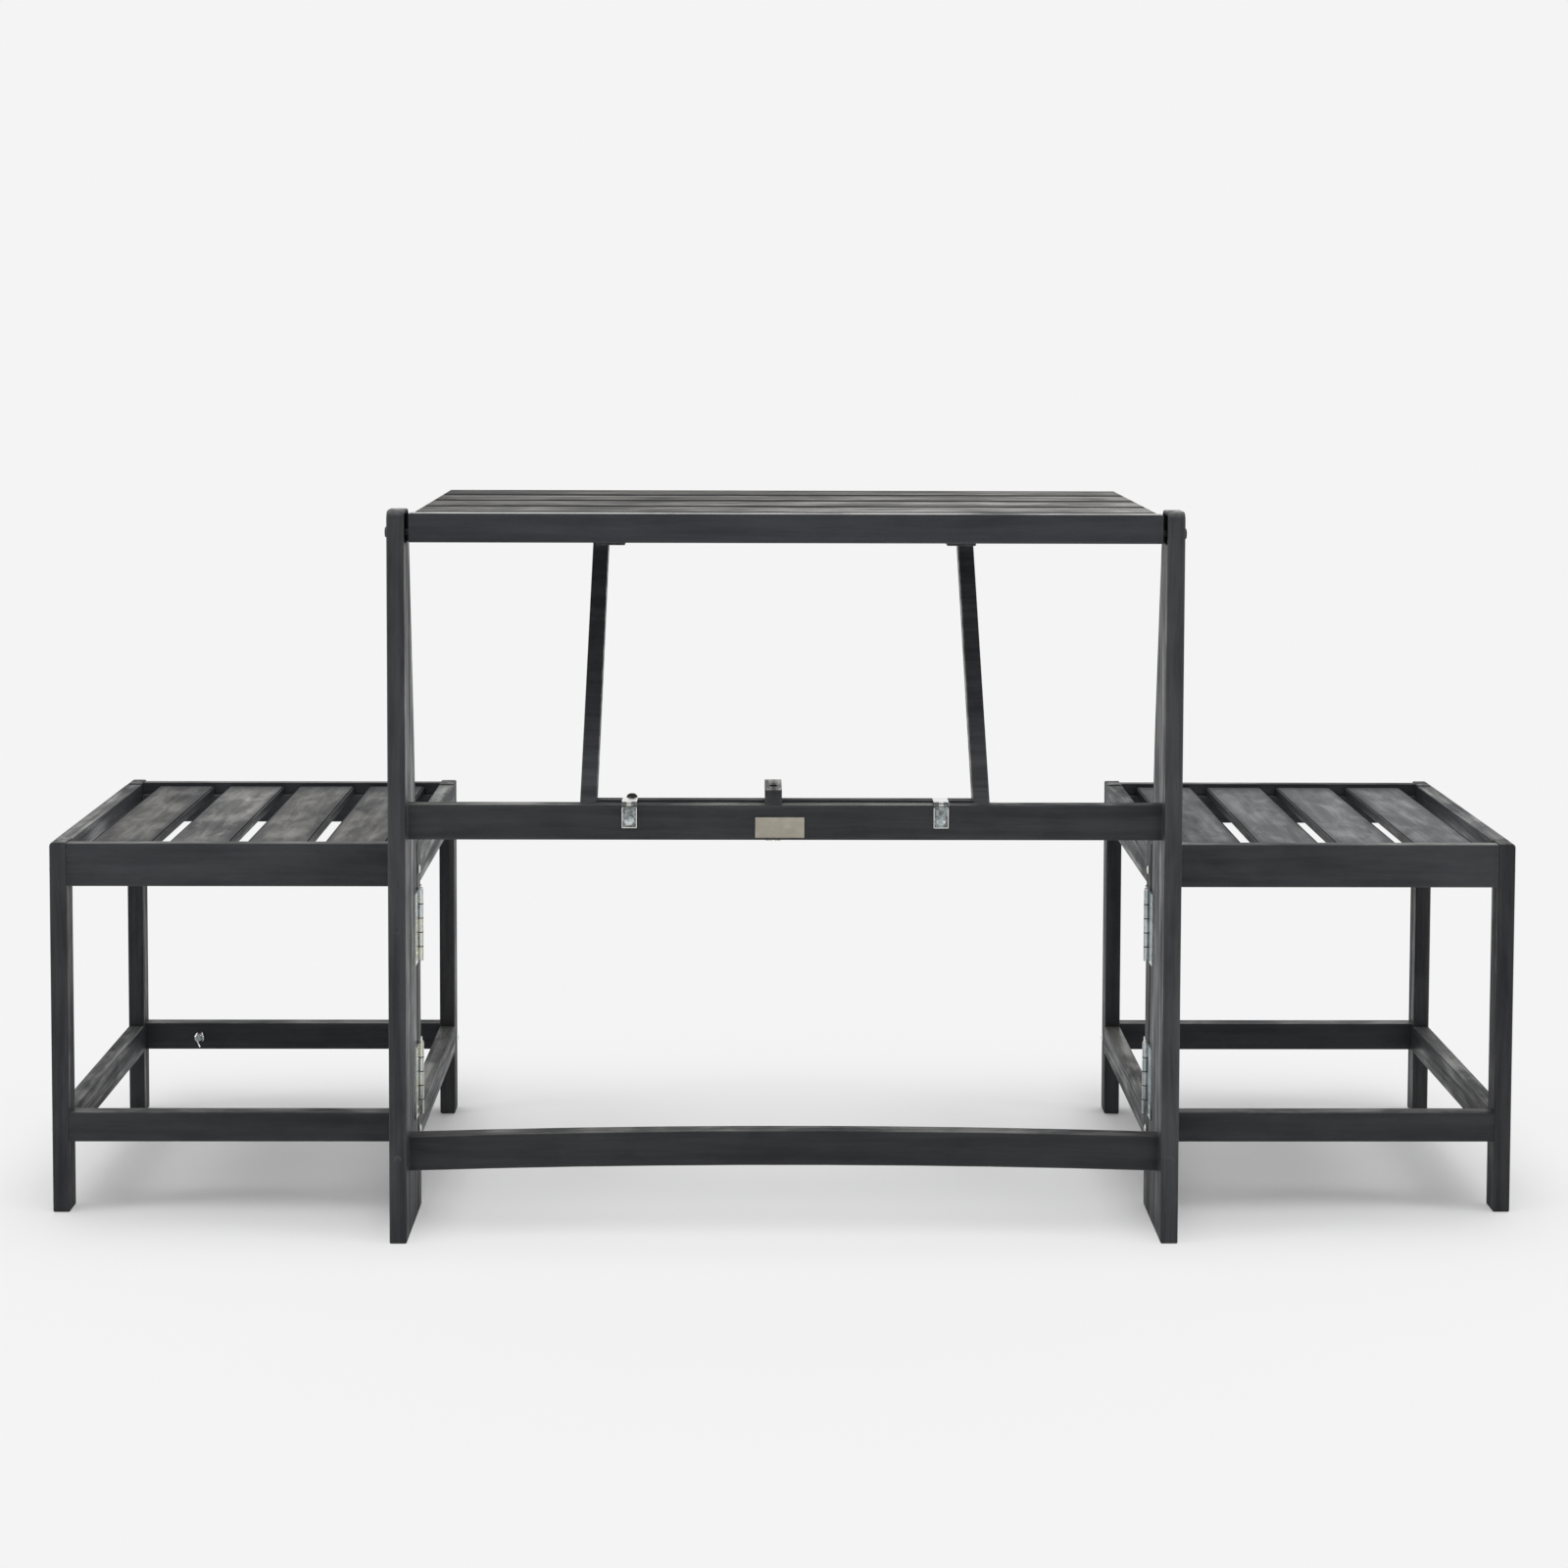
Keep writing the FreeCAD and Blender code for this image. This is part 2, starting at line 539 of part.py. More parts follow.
for label, side in SIDES:
    x, w = span(side, S["batten_in"], batten_out)
    rear = slats_end - S["batten_end"]
    batten = soften(block("batten_%s_board" % label, x, S["top_y"] + S["rail_t"], batten_z, w,
                          rear - S["top_y"] - S["rail_t"], S["batten_h"]), 1.2)
    px, pw = along_x(side, S["batten_in"] - 1, batten_out + 1)
    holes = [rod("batten_%s_pivot_hole" % label, "x", px, S["prop_y"], S["prop_z"],
                 S["bolt_r"], pw)]
    for i in range(4):
        y = slats_y + (slat_depth + S["top_gap"]) * i + slat_depth / 3
        holes.append(rod("batten_%s_hole_%d" % (label, i), "z", side * batten_x, y,
                         batten_z - 1, 1.8, S["batten_h"] + 2))
        holes.append(rod("batten_%s_sink_%d" % (label, i), "z", side * batten_x, y,
                         batten_z - 1, 3.6, 3))
    node("table_batten_" + label, cut("table_batten_" + label, batten, holes))
    x, w = along_x(side, S["batten_in"] - 5, arm_out + 1)
    hx, hw = along_x(side, arm_out + 0.8, arm_out + 4.2)
    nx, nw = along_x(side, S["batten_in"] - 4, S["batten_in"])
    prop_bolts.append(join("prop_bolt_" + label, [
        rod("prop_bolt_%s_shaft" % label, "x", x, S["prop_y"], S["prop_z"], S["bolt_r"], w),
        rod("prop_bolt_%s_head" % label, "x", hx, S["prop_y"], S["prop_z"], 6, hw),
        rod("prop_bolt_%s_nut" % label, "x", nx, S["prop_y"], S["prop_z"], 5.2, nw)]))
group("prop_pivot_bolts", prop_bolts)

# Prop frame, two leaning arms and a crossbar
run = S["prop_y"] - cross_mid_y
drop = S["prop_z"] - cross_mid_z
reach = (run * run + drop * drop).root()
lean_sin, lean_cos = run / reach, drop / reach
half = S["arm_d"] / 2
length = reach + 30
prop_screws = []
for label, side in SIDES:
    x, w = span(side, S["arm_in"], arm_out)
    bar = doc.addObject("Part::Box", "prop_arm_%s_bar" % label)
    for prop, amount in (("Length", w), ("Width", S["arm_d"]), ("Height", length)):
        setattr(bar, prop, size(amount).value)
        bind(bar, prop, amount)
    bar.Placement = FreeCAD.Placement(FreeCAD.Vector(), FreeCAD.Rotation(
        FreeCAD.Vector(-1, 0, 0), 43))
    bar.setExpression("Placement.Rotation.Angle", "atan2(%s; %s)" % (run.text, drop.text))
    at(bar, x, S["prop_y"] - half * lean_cos - length * lean_sin,
       S["prop_z"] + half * lean_sin - length * lean_cos)
    eye = rod("prop_arm_%s_eye" % label, "x", x, S["prop_y"], S["prop_z"], half, w)
    arm = join("prop_arm_%s_body" % label, [bar, eye])
    px, pw = along_x(side, S["arm_in"] - 1, arm_out + 1)
    tools = [
        block("prop_arm_%s_front" % label, px, 0, S["cross_z"] - 60, pw, S["cross_y"], 130),
        block("prop_arm_%s_under" % label, px, 0, S["cross_z"] - 60, pw, 120, 60),
        rod("prop_arm_%s_bore" % label, "x", px, S["prop_y"], S["prop_z"],
            S["bolt_r"] + S["fit"], pw),
    ]
    for i, (dy, dz) in enumerate(((0, -7), (3, 7))):
        y, z = cross_mid_y + dy, cross_mid_z + dz
        tools.append(rod("prop_arm_%s_hole_%d" % (label, i), "x", px, y, z, 1.8, pw))
        name = "prop_screw_%s_%d" % (label, i)
        hx, hw = along_x(side, arm_out, arm_out + 2)
        sx, sw = along_x(side, S["arm_in"] - 22, arm_out + 1)
        prop_screws.append(join(name, [
            rod(name + "_head", "x", hx, y, z, 3.6, hw),
            rod(name + "_shank", "x", sx, y, z, 1.8, sw)]))
    node("prop_arm_" + label, cut("prop_arm_" + label, arm, tools))
bar = soften(block("prop_crossbar_board", -S["arm_in"], S["cross_y"], S["cross_z"],
                   S["arm_in"] * 2, S["cross_t"], S["cross_h"]), 1,
             lambda e: e.BoundBox.XLength > 100)
tools = [rod("prop_crossbar_pin_hole", "z", S["block_x"], cross_mid_y,
             S["cross_z"] + S["cross_h"] - 22, 4.3, 23)]
for label, side in SIDES:
    sx, sw = along_x(side, S["arm_in"] - 22, S["arm_in"] + 1)
    for i, (dy, dz) in enumerate(((0, -7), (3, 7))):
        tools.append(rod("prop_crossbar_hole_%s_%d" % (label, i), "x", sx, cross_mid_y + dy,
                         cross_mid_z + dz, 1.8, sw))
stud_x = -S["latch_x"] + 1.5
stud_y = cross_mid_y + 3.5
cross_top = S["cross_z"] + S["cross_h"]
tools.append(rod("prop_crossbar_stud_hole", "z", stud_x, stud_y, cross_top - 14, 1.8, 15))
node("prop_crossbar", cut("prop_crossbar", bar, tools))
prop_screws.append(join("prop_stud", [
    rod("prop_stud_shank", "z", stud_x, stud_y, cross_top - 14, 1.8, 15),
    button("prop_stud_head", "z", stud_x, stud_y, cross_top, 6, 5.2, 4.8, True)]))
group("prop_screws", prop_screws)

# Seats, mirror images of each other
for label, side in SIDES:
    pre = "seat_%s_" % label
    leg_spans = (("inner", leg_in, leg_in + S["leg_t"]),
                 ("outer", leg_out - S["leg_t"], leg_out))
    leg_rows = (("front", S["seat_y"]), ("rear", seat_rear - S["leg_d"]))
    apron_mid = apron_z + S["apron_h"] / 2
    bolt_rows = (("front", S["seat_y"] + S["apron_in"] + S["apron_t"] / 2),
                 ("rear", seat_rear - S["apron_in"] - S["apron_t"] / 2))
    bolts = []
    for across, near, far in leg_spans:
        x, w = span(side, near, far)
        for (along, y), (same, by) in zip(leg_rows, bolt_rows):
            name = pre + "leg_%s_%s" % (along, across)
            corner = side * (far if across == "outer" else near).value
            leg = soften(block(name + "_post", x, y, 0, w, S["leg_d"], S["seat_h"]), 1.8,
                         None, lambda e: 4.6 if across == "outer" and
                         e.BoundBox.YLength > 20 and e.BoundBox.ZMin > 100 and
                         abs(e.BoundBox.XMin - corner) < 0.1 else 1.8)
            tools = []
            for spot, z in (("apron", apron_mid - 6), ("bar", S["bar_z"] + S["bar_h"] / 2 - 4)):
                px, pw = along_x(side, near - 1, far + 1)
                tools.append(rod("%s_%s_hole" % (name, spot), "x", px, by, z, 2.5, pw))
                bolt = "%s_%s_bolt" % (name, spot)
                if across == "inner":
                    hx, hw = along_x(side, near - 2.4, near)
                    sx, sw = along_x(side, near - 0.5, far + 24)
                else:
                    hx, hw = along_x(side, far, far + 2.4)
                    sx, sw = along_x(side, near - 24, far + 0.5)
                bolts.append(join(bolt, [
                    button(bolt + "_head", "x", hx, by, z, 4.8, hw, 1,
                           (side > 0) == (across == "outer")),
                    rod(bolt + "_shank", "x", sx, by, z, 2.5, sw)]))
            if across == "inner" and along == "front":
                for spot, z0 in hinge_spots:
                    for i, dz in enumerate(screw_heights):
                        sx, sw = along_x(side, near, near + 13)
                        tools.append(rod("%s_%s_pilot_%d" % (name, spot, i), "x", sx,
                                         S["seat_y"] + 16, z0 + dz, 1.5, sw))
            node(name, cut(name, leg, tools))
    group(pre + "bolts", bolts)
    screws = []
    for spot, z0 in hinge_spots:
        for i, dz in enumerate(screw_heights):
            hx, hw = along_x(side, leg_in - 1.9, leg_in - 0.4)
            sx, sw = along_x(side, leg_in - 0.6, leg_in + 13)
            name = pre + "hinge_screw_%s_%d" % (spot, i)
            screws.append(join(name, [
                rod(name + "_head", "x", hx, S["seat_y"] + 16, z0 + dz, 3, hw),
                rod(name + "_shank", "x", sx, S["seat_y"] + 16, z0 + dz, 1.5, sw)]))
    group(pre + "hinge_screws", screws)
    x, w = span(side, leg_in + S["leg_t"], leg_out - S["leg_t"])
    for along, y, ledge_y in (
            ("front", S["seat_y"] + S["apron_in"],
             S["seat_y"] + S["apron_in"] + S["apron_t"] - S["ledge"]),
            ("rear", seat_rear - S["apron_in"] - S["apron_t"],
             seat_rear - S["apron_in"] - S["apron_t"] - 1)):
        name = pre + "apron_" + along
        board = soften(block(name + "_board", x, y, apron_z, w, S["apron_t"], S["apron_h"]),
                       1.2, lambda e: e.BoundBox.XLength > 100)
        tools = [block(name + "_ledge", x - 1, ledge_y, slat_z, w + 2, S["ledge"] + 1,
                       S["slat_t"] + S["slat_drop"] + 1)]
        by = bolt_rows[0][1] if along == "front" else bolt_rows[1][1]
        for across, near, far in (("inner", leg_in + S["leg_t"] - 1, leg_in + S["leg_t"] + 24),
                                  ("outer", leg_out - S["leg_t"] - 24,
                                   leg_out - S["leg_t"] + 1)):
            px, pw = along_x(side, near, far)
            tools.append(rod("%s_%s_hole" % (name, across), "x", px, by, apron_mid - 6, 2.5,
                             pw))
        node(name, cut(name, board, tools))
        name = pre + "stretcher_" + along
        board = soften(block(name + "_board", x, y, S["bar_z"], w, S["apron_t"], S["bar_h"]),
                       1.2, lambda e: e.BoundBox.XLength > 100)
        tools = []
        for across, near, far in (("inner", leg_in + S["leg_t"] - 1, leg_in + S["leg_t"] + 24),
                                  ("outer", leg_out - S["leg_t"] - 24,
                                   leg_out - S["leg_t"] + 1)):
            px, pw = along_x(side, near, far)
            tools.append(rod("%s_%s_hole" % (name, across), "x", px, by,
                             S["bar_z"] + S["bar_h"] / 2 - 4, 2.5, pw))
        if along == "rear":
            if side < 0:
                tools.append(rod(name + "_lock_hole", "y", -lock_x, y - 1, S["lock_z"],
                                 S["bolt_r"], S["apron_t"] + 2))
                tools.append(rod(name + "_lock_sink", "y", -lock_x,
                                 y + S["apron_t"] - 3, S["lock_z"], 6, 4))
            else:
                tools.append(rod(name + "_lock_hole", "y", lock_x,
                                 y + S["apron_t"] - 12, S["lock_z"], S["bolt_r"] + 0.5, 13))
        node(name, cut(name, board, tools))
    for across, near, far in leg_spans:
        x, w = span(side, near, far)
        y = S["seat_y"] + S["leg_d"]
        deep = S["seat_d"] - S["leg_d"] * 2
        name = pre + "apron_" + across
        node(name, soften(block(name + "_board", x, y, apron_z, w, deep, S["apron_h"]),
                          1.2, lambda e: e.BoundBox.YLength > 100))
        name = pre + "stretcher_" + across
        node(name, soften(block(name + "_board", x, y, S["side_z"], w, deep, S["side_h"]),
                          1.2, lambda e: e.BoundBox.YLength > 100))
    inner = leg_in + S["leg_t"] + S["slat_side"]
    room = S["seat_w"] - S["leg_t"] * 2 - S["slat_side"] * 2 - S["slat_w"]
    y = S["seat_y"] + S["apron_in"] + S["apron_t"] - S["ledge"]
    deep = S["seat_d"] - (S["apron_in"] + S["apron_t"] - S["ledge"]) * 2
    slats = []
    for i in range(4):
        x, w = span(side, inner + room * (i / 3), inner + room * (i / 3) + S["slat_w"])
        slats.append(soften(block(pre + "slat_%d" % (i + 1), x, y, slat_z, w, deep,
                                  S["slat_t"]), 1.6))
    group(pre + "slats", slats)

# Bolt and wing nut that lock the two seats side by side
y = seat_rear - S["apron_in"] - S["apron_t"]
node("lock_bolt", join("lock_bolt", [
    rod("lock_bolt_shaft", "y", -lock_x, y - 13, S["lock_z"], S["bolt_r"],
        S["apron_t"] + 11),
    rod("lock_bolt_head", "y", -lock_x, y + S["apron_t"] - 3, S["lock_z"], 6, 2.6)]))
nut_y = y - 8.4
wing = [
    rod("wing_nut_hub", "y", -lock_x, nut_y, S["lock_z"], 5.6, 8),
    rod("wing_nut_wing_0", "y", -lock_x - 7, nut_y, S["lock_z"] + 5, 4.2, 2.2),
    rod("wing_nut_wing_1", "y", -lock_x + 7, nut_y, S["lock_z"] - 5, 4.2, 2.2),
]
node("wing_nut", cut("wing_nut", join("wing_nut_body", wing), [
    rod("wing_nut_bore", "y", -lock_x, nut_y - 1, S["lock_z"],
        S["bolt_r"] + S["fit"], 10)]))

doc.recompute()
problems = []
for thing in doc.Objects:
    if any(word in ("Invalid", "Error", "Touched") for word in thing.State):
        problems.append("%s is %s" % (thing.Name, thing.State))
for name, thing in NODES.items():
    shape = thing.Shape
    if shape.isNull() or not shape.isValid() or shape.Volume <= 0:
        problems.append("%s has no sound shape" % name)
if problems:
    raise RuntimeError("; ".join(problems[:12]))

os.makedirs("parts", exist_ok=True)
total = FreeCAD.BoundBox()
for name, thing in NODES.items():
    thing.Shape.exportStep("parts/%s.step" % name)
    total.add(thing.Shape.BoundBox)
    print("%-26s solids %2d  volume %9.0f" % (name, len(thing.Shape.Solids), thing.Shape.Volume))
print(len(NODES), "pieces", total)
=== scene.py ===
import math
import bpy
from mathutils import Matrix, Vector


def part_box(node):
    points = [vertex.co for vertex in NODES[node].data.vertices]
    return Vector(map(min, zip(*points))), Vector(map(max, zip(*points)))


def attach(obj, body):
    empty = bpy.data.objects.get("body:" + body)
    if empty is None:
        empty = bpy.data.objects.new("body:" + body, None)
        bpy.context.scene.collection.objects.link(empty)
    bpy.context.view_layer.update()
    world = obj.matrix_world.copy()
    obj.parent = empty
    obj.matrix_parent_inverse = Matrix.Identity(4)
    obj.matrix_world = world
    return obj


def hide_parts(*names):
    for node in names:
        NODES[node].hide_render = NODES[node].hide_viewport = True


bl_info = {
    "name": "Convertible bench looks",
    "version": (1, 0, 0),
    "blender": (4, 5, 0),
    "location": "View3D > Sidebar > Bench",
    "description": "Stained boards, plated fittings and a studio for a bench that turns into a table",
    "category": "Object",
}

from collections import namedtuple

import bmesh
import bpy
import numpy as np
from mathutils import Matrix

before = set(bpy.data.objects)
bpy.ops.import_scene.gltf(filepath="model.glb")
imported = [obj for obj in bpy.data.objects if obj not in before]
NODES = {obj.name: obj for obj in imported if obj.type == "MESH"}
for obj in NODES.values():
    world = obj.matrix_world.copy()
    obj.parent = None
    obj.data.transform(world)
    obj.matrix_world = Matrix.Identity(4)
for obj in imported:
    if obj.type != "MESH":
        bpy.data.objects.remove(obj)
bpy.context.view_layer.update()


# Places that the fittings share with the solids, in metres

# X runs to the right, y to the back and z up
FORWARD = (0, -1, 0)


def corners(name):
    """The low and the high corner of a node's box, to the micrometre."""
    return [[round(value, 6) for value in corner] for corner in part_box(name)]


PLANK_IN, PLANK_OUT = (corner[0] for corner in corners("plank_right"))
PLANK_MIDDLE = (PLANK_IN + PLANK_OUT) / 2
SEAT_OUT = corners("seat_right_leg_front_outer")[1][0]

# A hinge's foot is the height of its lower end, its line is where the pins stand, and its
# screws sit at two rises above the foot
HINGE_LENGTH = 0.076
KNUCKLE = HINGE_LENGTH / 5
HINGE_FEET = (corners("hinge_leaves_right")[0][2],
              round(corners("hinge_leaves_right")[1][2] - HINGE_LENGTH, 6))
HINGE_LINE = sum(corner[1] for corner in corners("hinge_pins")) / 2
HINGE_SCREW_RISES = (0.012, 0.064)

# The latches stand this far to either side. Their knuckles lie on a line across the bench,
# with painted shade lines at two heights, at the knuckle's lower edge and its seam, and their plates
# face the front
LATCH_OUT = 0.161
LATCH_LINE = -0.2268
LATCH_GROOVES = (0.4569, 0.4546)
LATCH_FACE = -0.2256
LATCH_HALF_WIDTH = 0.0078
LATCH_SCREW_HEIGHT = 0.4386

# Seat bolts stand at two y and two heights, rail bolts at pairs of y and z, and plugs at
# pairs of x and z
SEAT_BOLT_LINES = (-0.133, 0.231)
SEAT_BOLT_HEIGHTS = (0.3685, 0.08775)
RAIL_BOLT_SPOTS = ((-0.215, 0.427), (-0.215, 0.4454), (-0.212, 0.0795), (-0.212, 0.097))
PLUG_SPOTS = ((-PLANK_MIDDLE, 0.0885), (PLANK_MIDDLE, 0.0885), (-PLANK_MIDDLE, 0.326))

# The stop block's pin hole as x, y and radius
PIN_HOLE = (-0.0123, -0.197, 0.0044)

# Gap between two table boards and width of a seat slat
TABLE_GAP = 0.008
SEAT_SLAT = 0.066

# Lean of the prop's arms, from how far they run forward and drop
ARM_LEAN = math.atan2(0.276, 0.293)

# Screws and bolts: head's radius and height, recess's depth, shank's radius and length
LATCH_SCREW = {"radius": 0.0048, "height": 0.0018, "depth": 0.0008, "shank": 0.0016,
               "length": 0.0122}
HINGE_SCREW = {"radius": 0.0029, "height": 0.0014, "depth": 0.0006, "shank": 0.0015,
               "length": 0.0135}
SEAT_BOLT = {"radius": 0.0048, "height": 0.0024, "depth": 0.0011, "shank": 0.0025,
             "length": 0.042}
RAIL_BOLT = {"radius": 0.0055, "height": 0.003, "depth": 0.0013, "shank": 0.0025,
             "length": 0.058}

# Points once round a turned piece, and the angle past which two faces meet in a sharp edge
ROUND = 36
SHARP = math.radians(38)


# Sizes and colours that a user would change

def colour_value(name, about, default):
    return bpy.props.FloatVectorProperty(name=name, description=about, subtype="COLOR", size=3,
                                         min=0, max=1, default=default)


def length_value(name, about, default):
    return bpy.props.FloatProperty(name=name, description=about, unit="LENGTH", default=default)


def share_value(name, about, default):
    return bpy.props.FloatProperty(name=name, description=about, subtype="FACTOR", min=0, max=1,
                                   default=default)


def angle_value(name, about, degrees):
    return bpy.props.FloatProperty(name=name, description=about, subtype="ANGLE",
                                   default=math.radians(degrees))


def place_value(name, about, default):
    return bpy.props.FloatVectorProperty(name=name, description=about, subtype="TRANSLATION",
                                         size=3, default=default)


def plain_value(name, about, default):
    return bpy.props.FloatProperty(name=name, description=about, default=default)


class BoardLooks(bpy.types.PropertyGroup):
    """Stain and wear of the boards."""
    stain: colour_value("Stain", "Near-black stain where it lies thick", (0.023, 0.0238, 0.027))
    thin: colour_value("Thin stain", "Stain brushed thin over the grain", (0.054, 0.056, 0.06))
    # Wiped wood on the tops also carries painted light from above
    worn: colour_value("Wiped wood", "Wood that shows through on tops", (0.15, 0.148, 0.134))
    # Edge wear also carries a painted highlight on the rounded edges
    edge: colour_value("Edge wear", "Rubbed edges", (0.24, 0.237, 0.22))
    rough: share_value("Roughness", "Middle roughness of the satin stain", 0.5)


class FittingLooks(bpy.types.PropertyGroup):
    """Metal of hinges, latches, bolts and screws."""
    zinc: colour_value("Zinc", "Clear bluish zinc plating", (0.66, 0.7, 0.72))
    cream: colour_value("Cream zinc", "Yellowish zinc plating", (0.74, 0.73, 0.6))
    bluish: colour_value("Dull zinc", "Bluish zinc gone dull", (0.4, 0.45, 0.46))
    latch: colour_value("Latch", "Brushed latch plate", (0.25, 0.255, 0.235))
    white: colour_value("Bright zinc", "Zinc where it catches the light", (0.88, 0.88, 0.86))
    nut: colour_value("Nut", "Pale zinc of the wing nut", (0.93, 0.97, 0.96))
    cap: colour_value("Bolt cap", "Black bolt heads", (0.014, 0.014, 0.015))


class PlateLooks(bpy.types.PropertyGroup):
    """The small bare plate on the middle rail."""
    middle: place_value("Middle", "Centre of the plate", (-0.0057, 0, 0.4312))
    width: length_value("Width", "Width of the plate", 0.0508)
    height: length_value("Height", "Height of the plate", 0.0214)
    thickness: length_value("Thickness", "Thickness of the plate", 0.0009)
    metal: colour_value("Metal", "Champagne metal", (0.45, 0.42, 0.35))


class FastenerLooks(bpy.types.PropertyGroup):
    """Heads of the screws and bolts."""
    slot: length_value("Cross width", "Width of the cross recess", 0.0011)
    screw_dome: length_value("Screw dome", "Height of a latch screw's dome", 0.0011)
    hinge_dome: length_value("Hinge screw dome", "Height of a hinge screw's dome", 0.0005)
    socket: length_value("Socket", "Half width of a bolt's hexagon socket", 0.0021)
    bolt_dome: length_value("Bolt dome", "Height of a bolt's dome", 0.0014)
    plug: length_value("Plug", "Radius of a wood plug", 0.0036)


class StageLooks(bpy.types.PropertyGroup):
    """Camera, floor and light."""
    camera: place_value("Camera", "Place of the camera", (-0.0334, -3.0163, 0.9685))
    pitch: angle_value("Pitch", "Downward tilt", 3.125)
    yaw: angle_value("Yaw", "Turn to the right", 0.545)
    roll: angle_value("Roll", "Turn about the view", 0.175)
    lens: plain_value("Lens", "Focal length in millimetres", 62.62)
    shift_x: plain_value("Shift X", "Sideways lens shift", 0.0027)
    shift_y: plain_value("Shift Y", "Vertical lens shift", -0.2095)
    backdrop: colour_value("Backdrop", "Floor and backdrop", (0.905, 0.905, 0.905))
    overhead: share_value("Overhead light", "Share of the light from above", 0.72)
    side: share_value("Side light", "Share of the light from each low side lamp", 0.06)
    spread: angle_value("Spread", "Size of the overhead light", 84)
    clean_front: share_value("Clean front", "How much of the shadow is lifted far out", 0.9)
    clean_middle: share_value("Clean middle", "How much is lifted below the table", 0.36)
    clean_seats: share_value("Clean seats", "How much is lifted below the seats", 0.04)


class BenchLooks(bpy.types.PropertyGroup):
    """Everything a user would change."""
    boards: bpy.props.PointerProperty(type=BoardLooks)
    fittings: bpy.props.PointerProperty(type=FittingLooks)
    plate: bpy.props.PointerProperty(type=PlateLooks)
    fasteners: bpy.props.PointerProperty(type=FastenerLooks)
    stage: bpy.props.PointerProperty(type=StageLooks)


# Colours of rubbed rims with a painted highlight, dust, and painted shade in lines and holes

ZINC_WEAR_AND_HIGHLIGHT = (0.85, 0.85, 0.83)
CHAMPAGNE_WEAR_AND_HIGHLIGHT = (0.8, 0.77, 0.7)
WARM_RIM = (0.8, 0.79, 0.76)
WARM_NUT = (0.95, 0.95, 0.93)
DUST = (0.09, 0.09, 0.09)
PAINTED_METAL_SHADE = (0.02, 0.022, 0.02)
# Near-black of the painted shade in gaps, holes and shadowed corners
PAINTED_SHADE_BLACK = (0.013, 0.013, 0.014)


# Shader maths

class Wire:
    """A value on a node tree. Python arithmetic on it adds Math nodes."""

    def __init__(self, finish, socket):
        self.finish = finish
        self.socket = socket

    def math(self, operation, *values):
        node = self.finish.add("ShaderNodeMath", {"operation": operation},
                               dict(enumerate(values)))
        return Wire(self.finish, node.outputs[0])

    def __add__(self, other):
        return self.math("ADD", self, other)

    __radd__ = __add__

    def __mul__(self, other):
        return self.math("MULTIPLY", self, other)

    __rmul__ = __mul__

    def __sub__(self, other):
        return self.math("SUBTRACT", self, other)

    def __rsub__(self, other):
        return self.math("SUBTRACT", other, self)

    def __truediv__(self, other):
        return self.math("DIVIDE", self, other)

    def __abs__(self):
        return self.math("ABSOLUTE", self)

    def floor(self):
        return self.math("FLOOR", self)

    def wave(self):
        return self.math("SINE", self)

    def is_number(self, number):
        """1 where the value is that whole number, and 0 elsewhere."""
        return self.math("COMPARE", self, number, 0.1)

    def step(self, low, high, start=0.0, end=1.0):
        """Start below low, end above high, and a smooth rise between them."""
        node = self.finish.add("ShaderNodeMapRange", {"interpolation_type": "SMOOTHSTEP"},
                               {"Value": self, "From Min": low, "From Max": high,
                                "To Min": start, "To Max": end})
        return Wire(self.finish, node.outputs[0])

    def fall(self, low, high, start=1.0):
        """Start below low, 0 above high, and a smooth fall between them."""
        return self.step(low, high, start, 0.0)

    def clip(self):
        return self.math("MINIMUM", self.math("MAXIMUM", self, 0.0), 1.0)


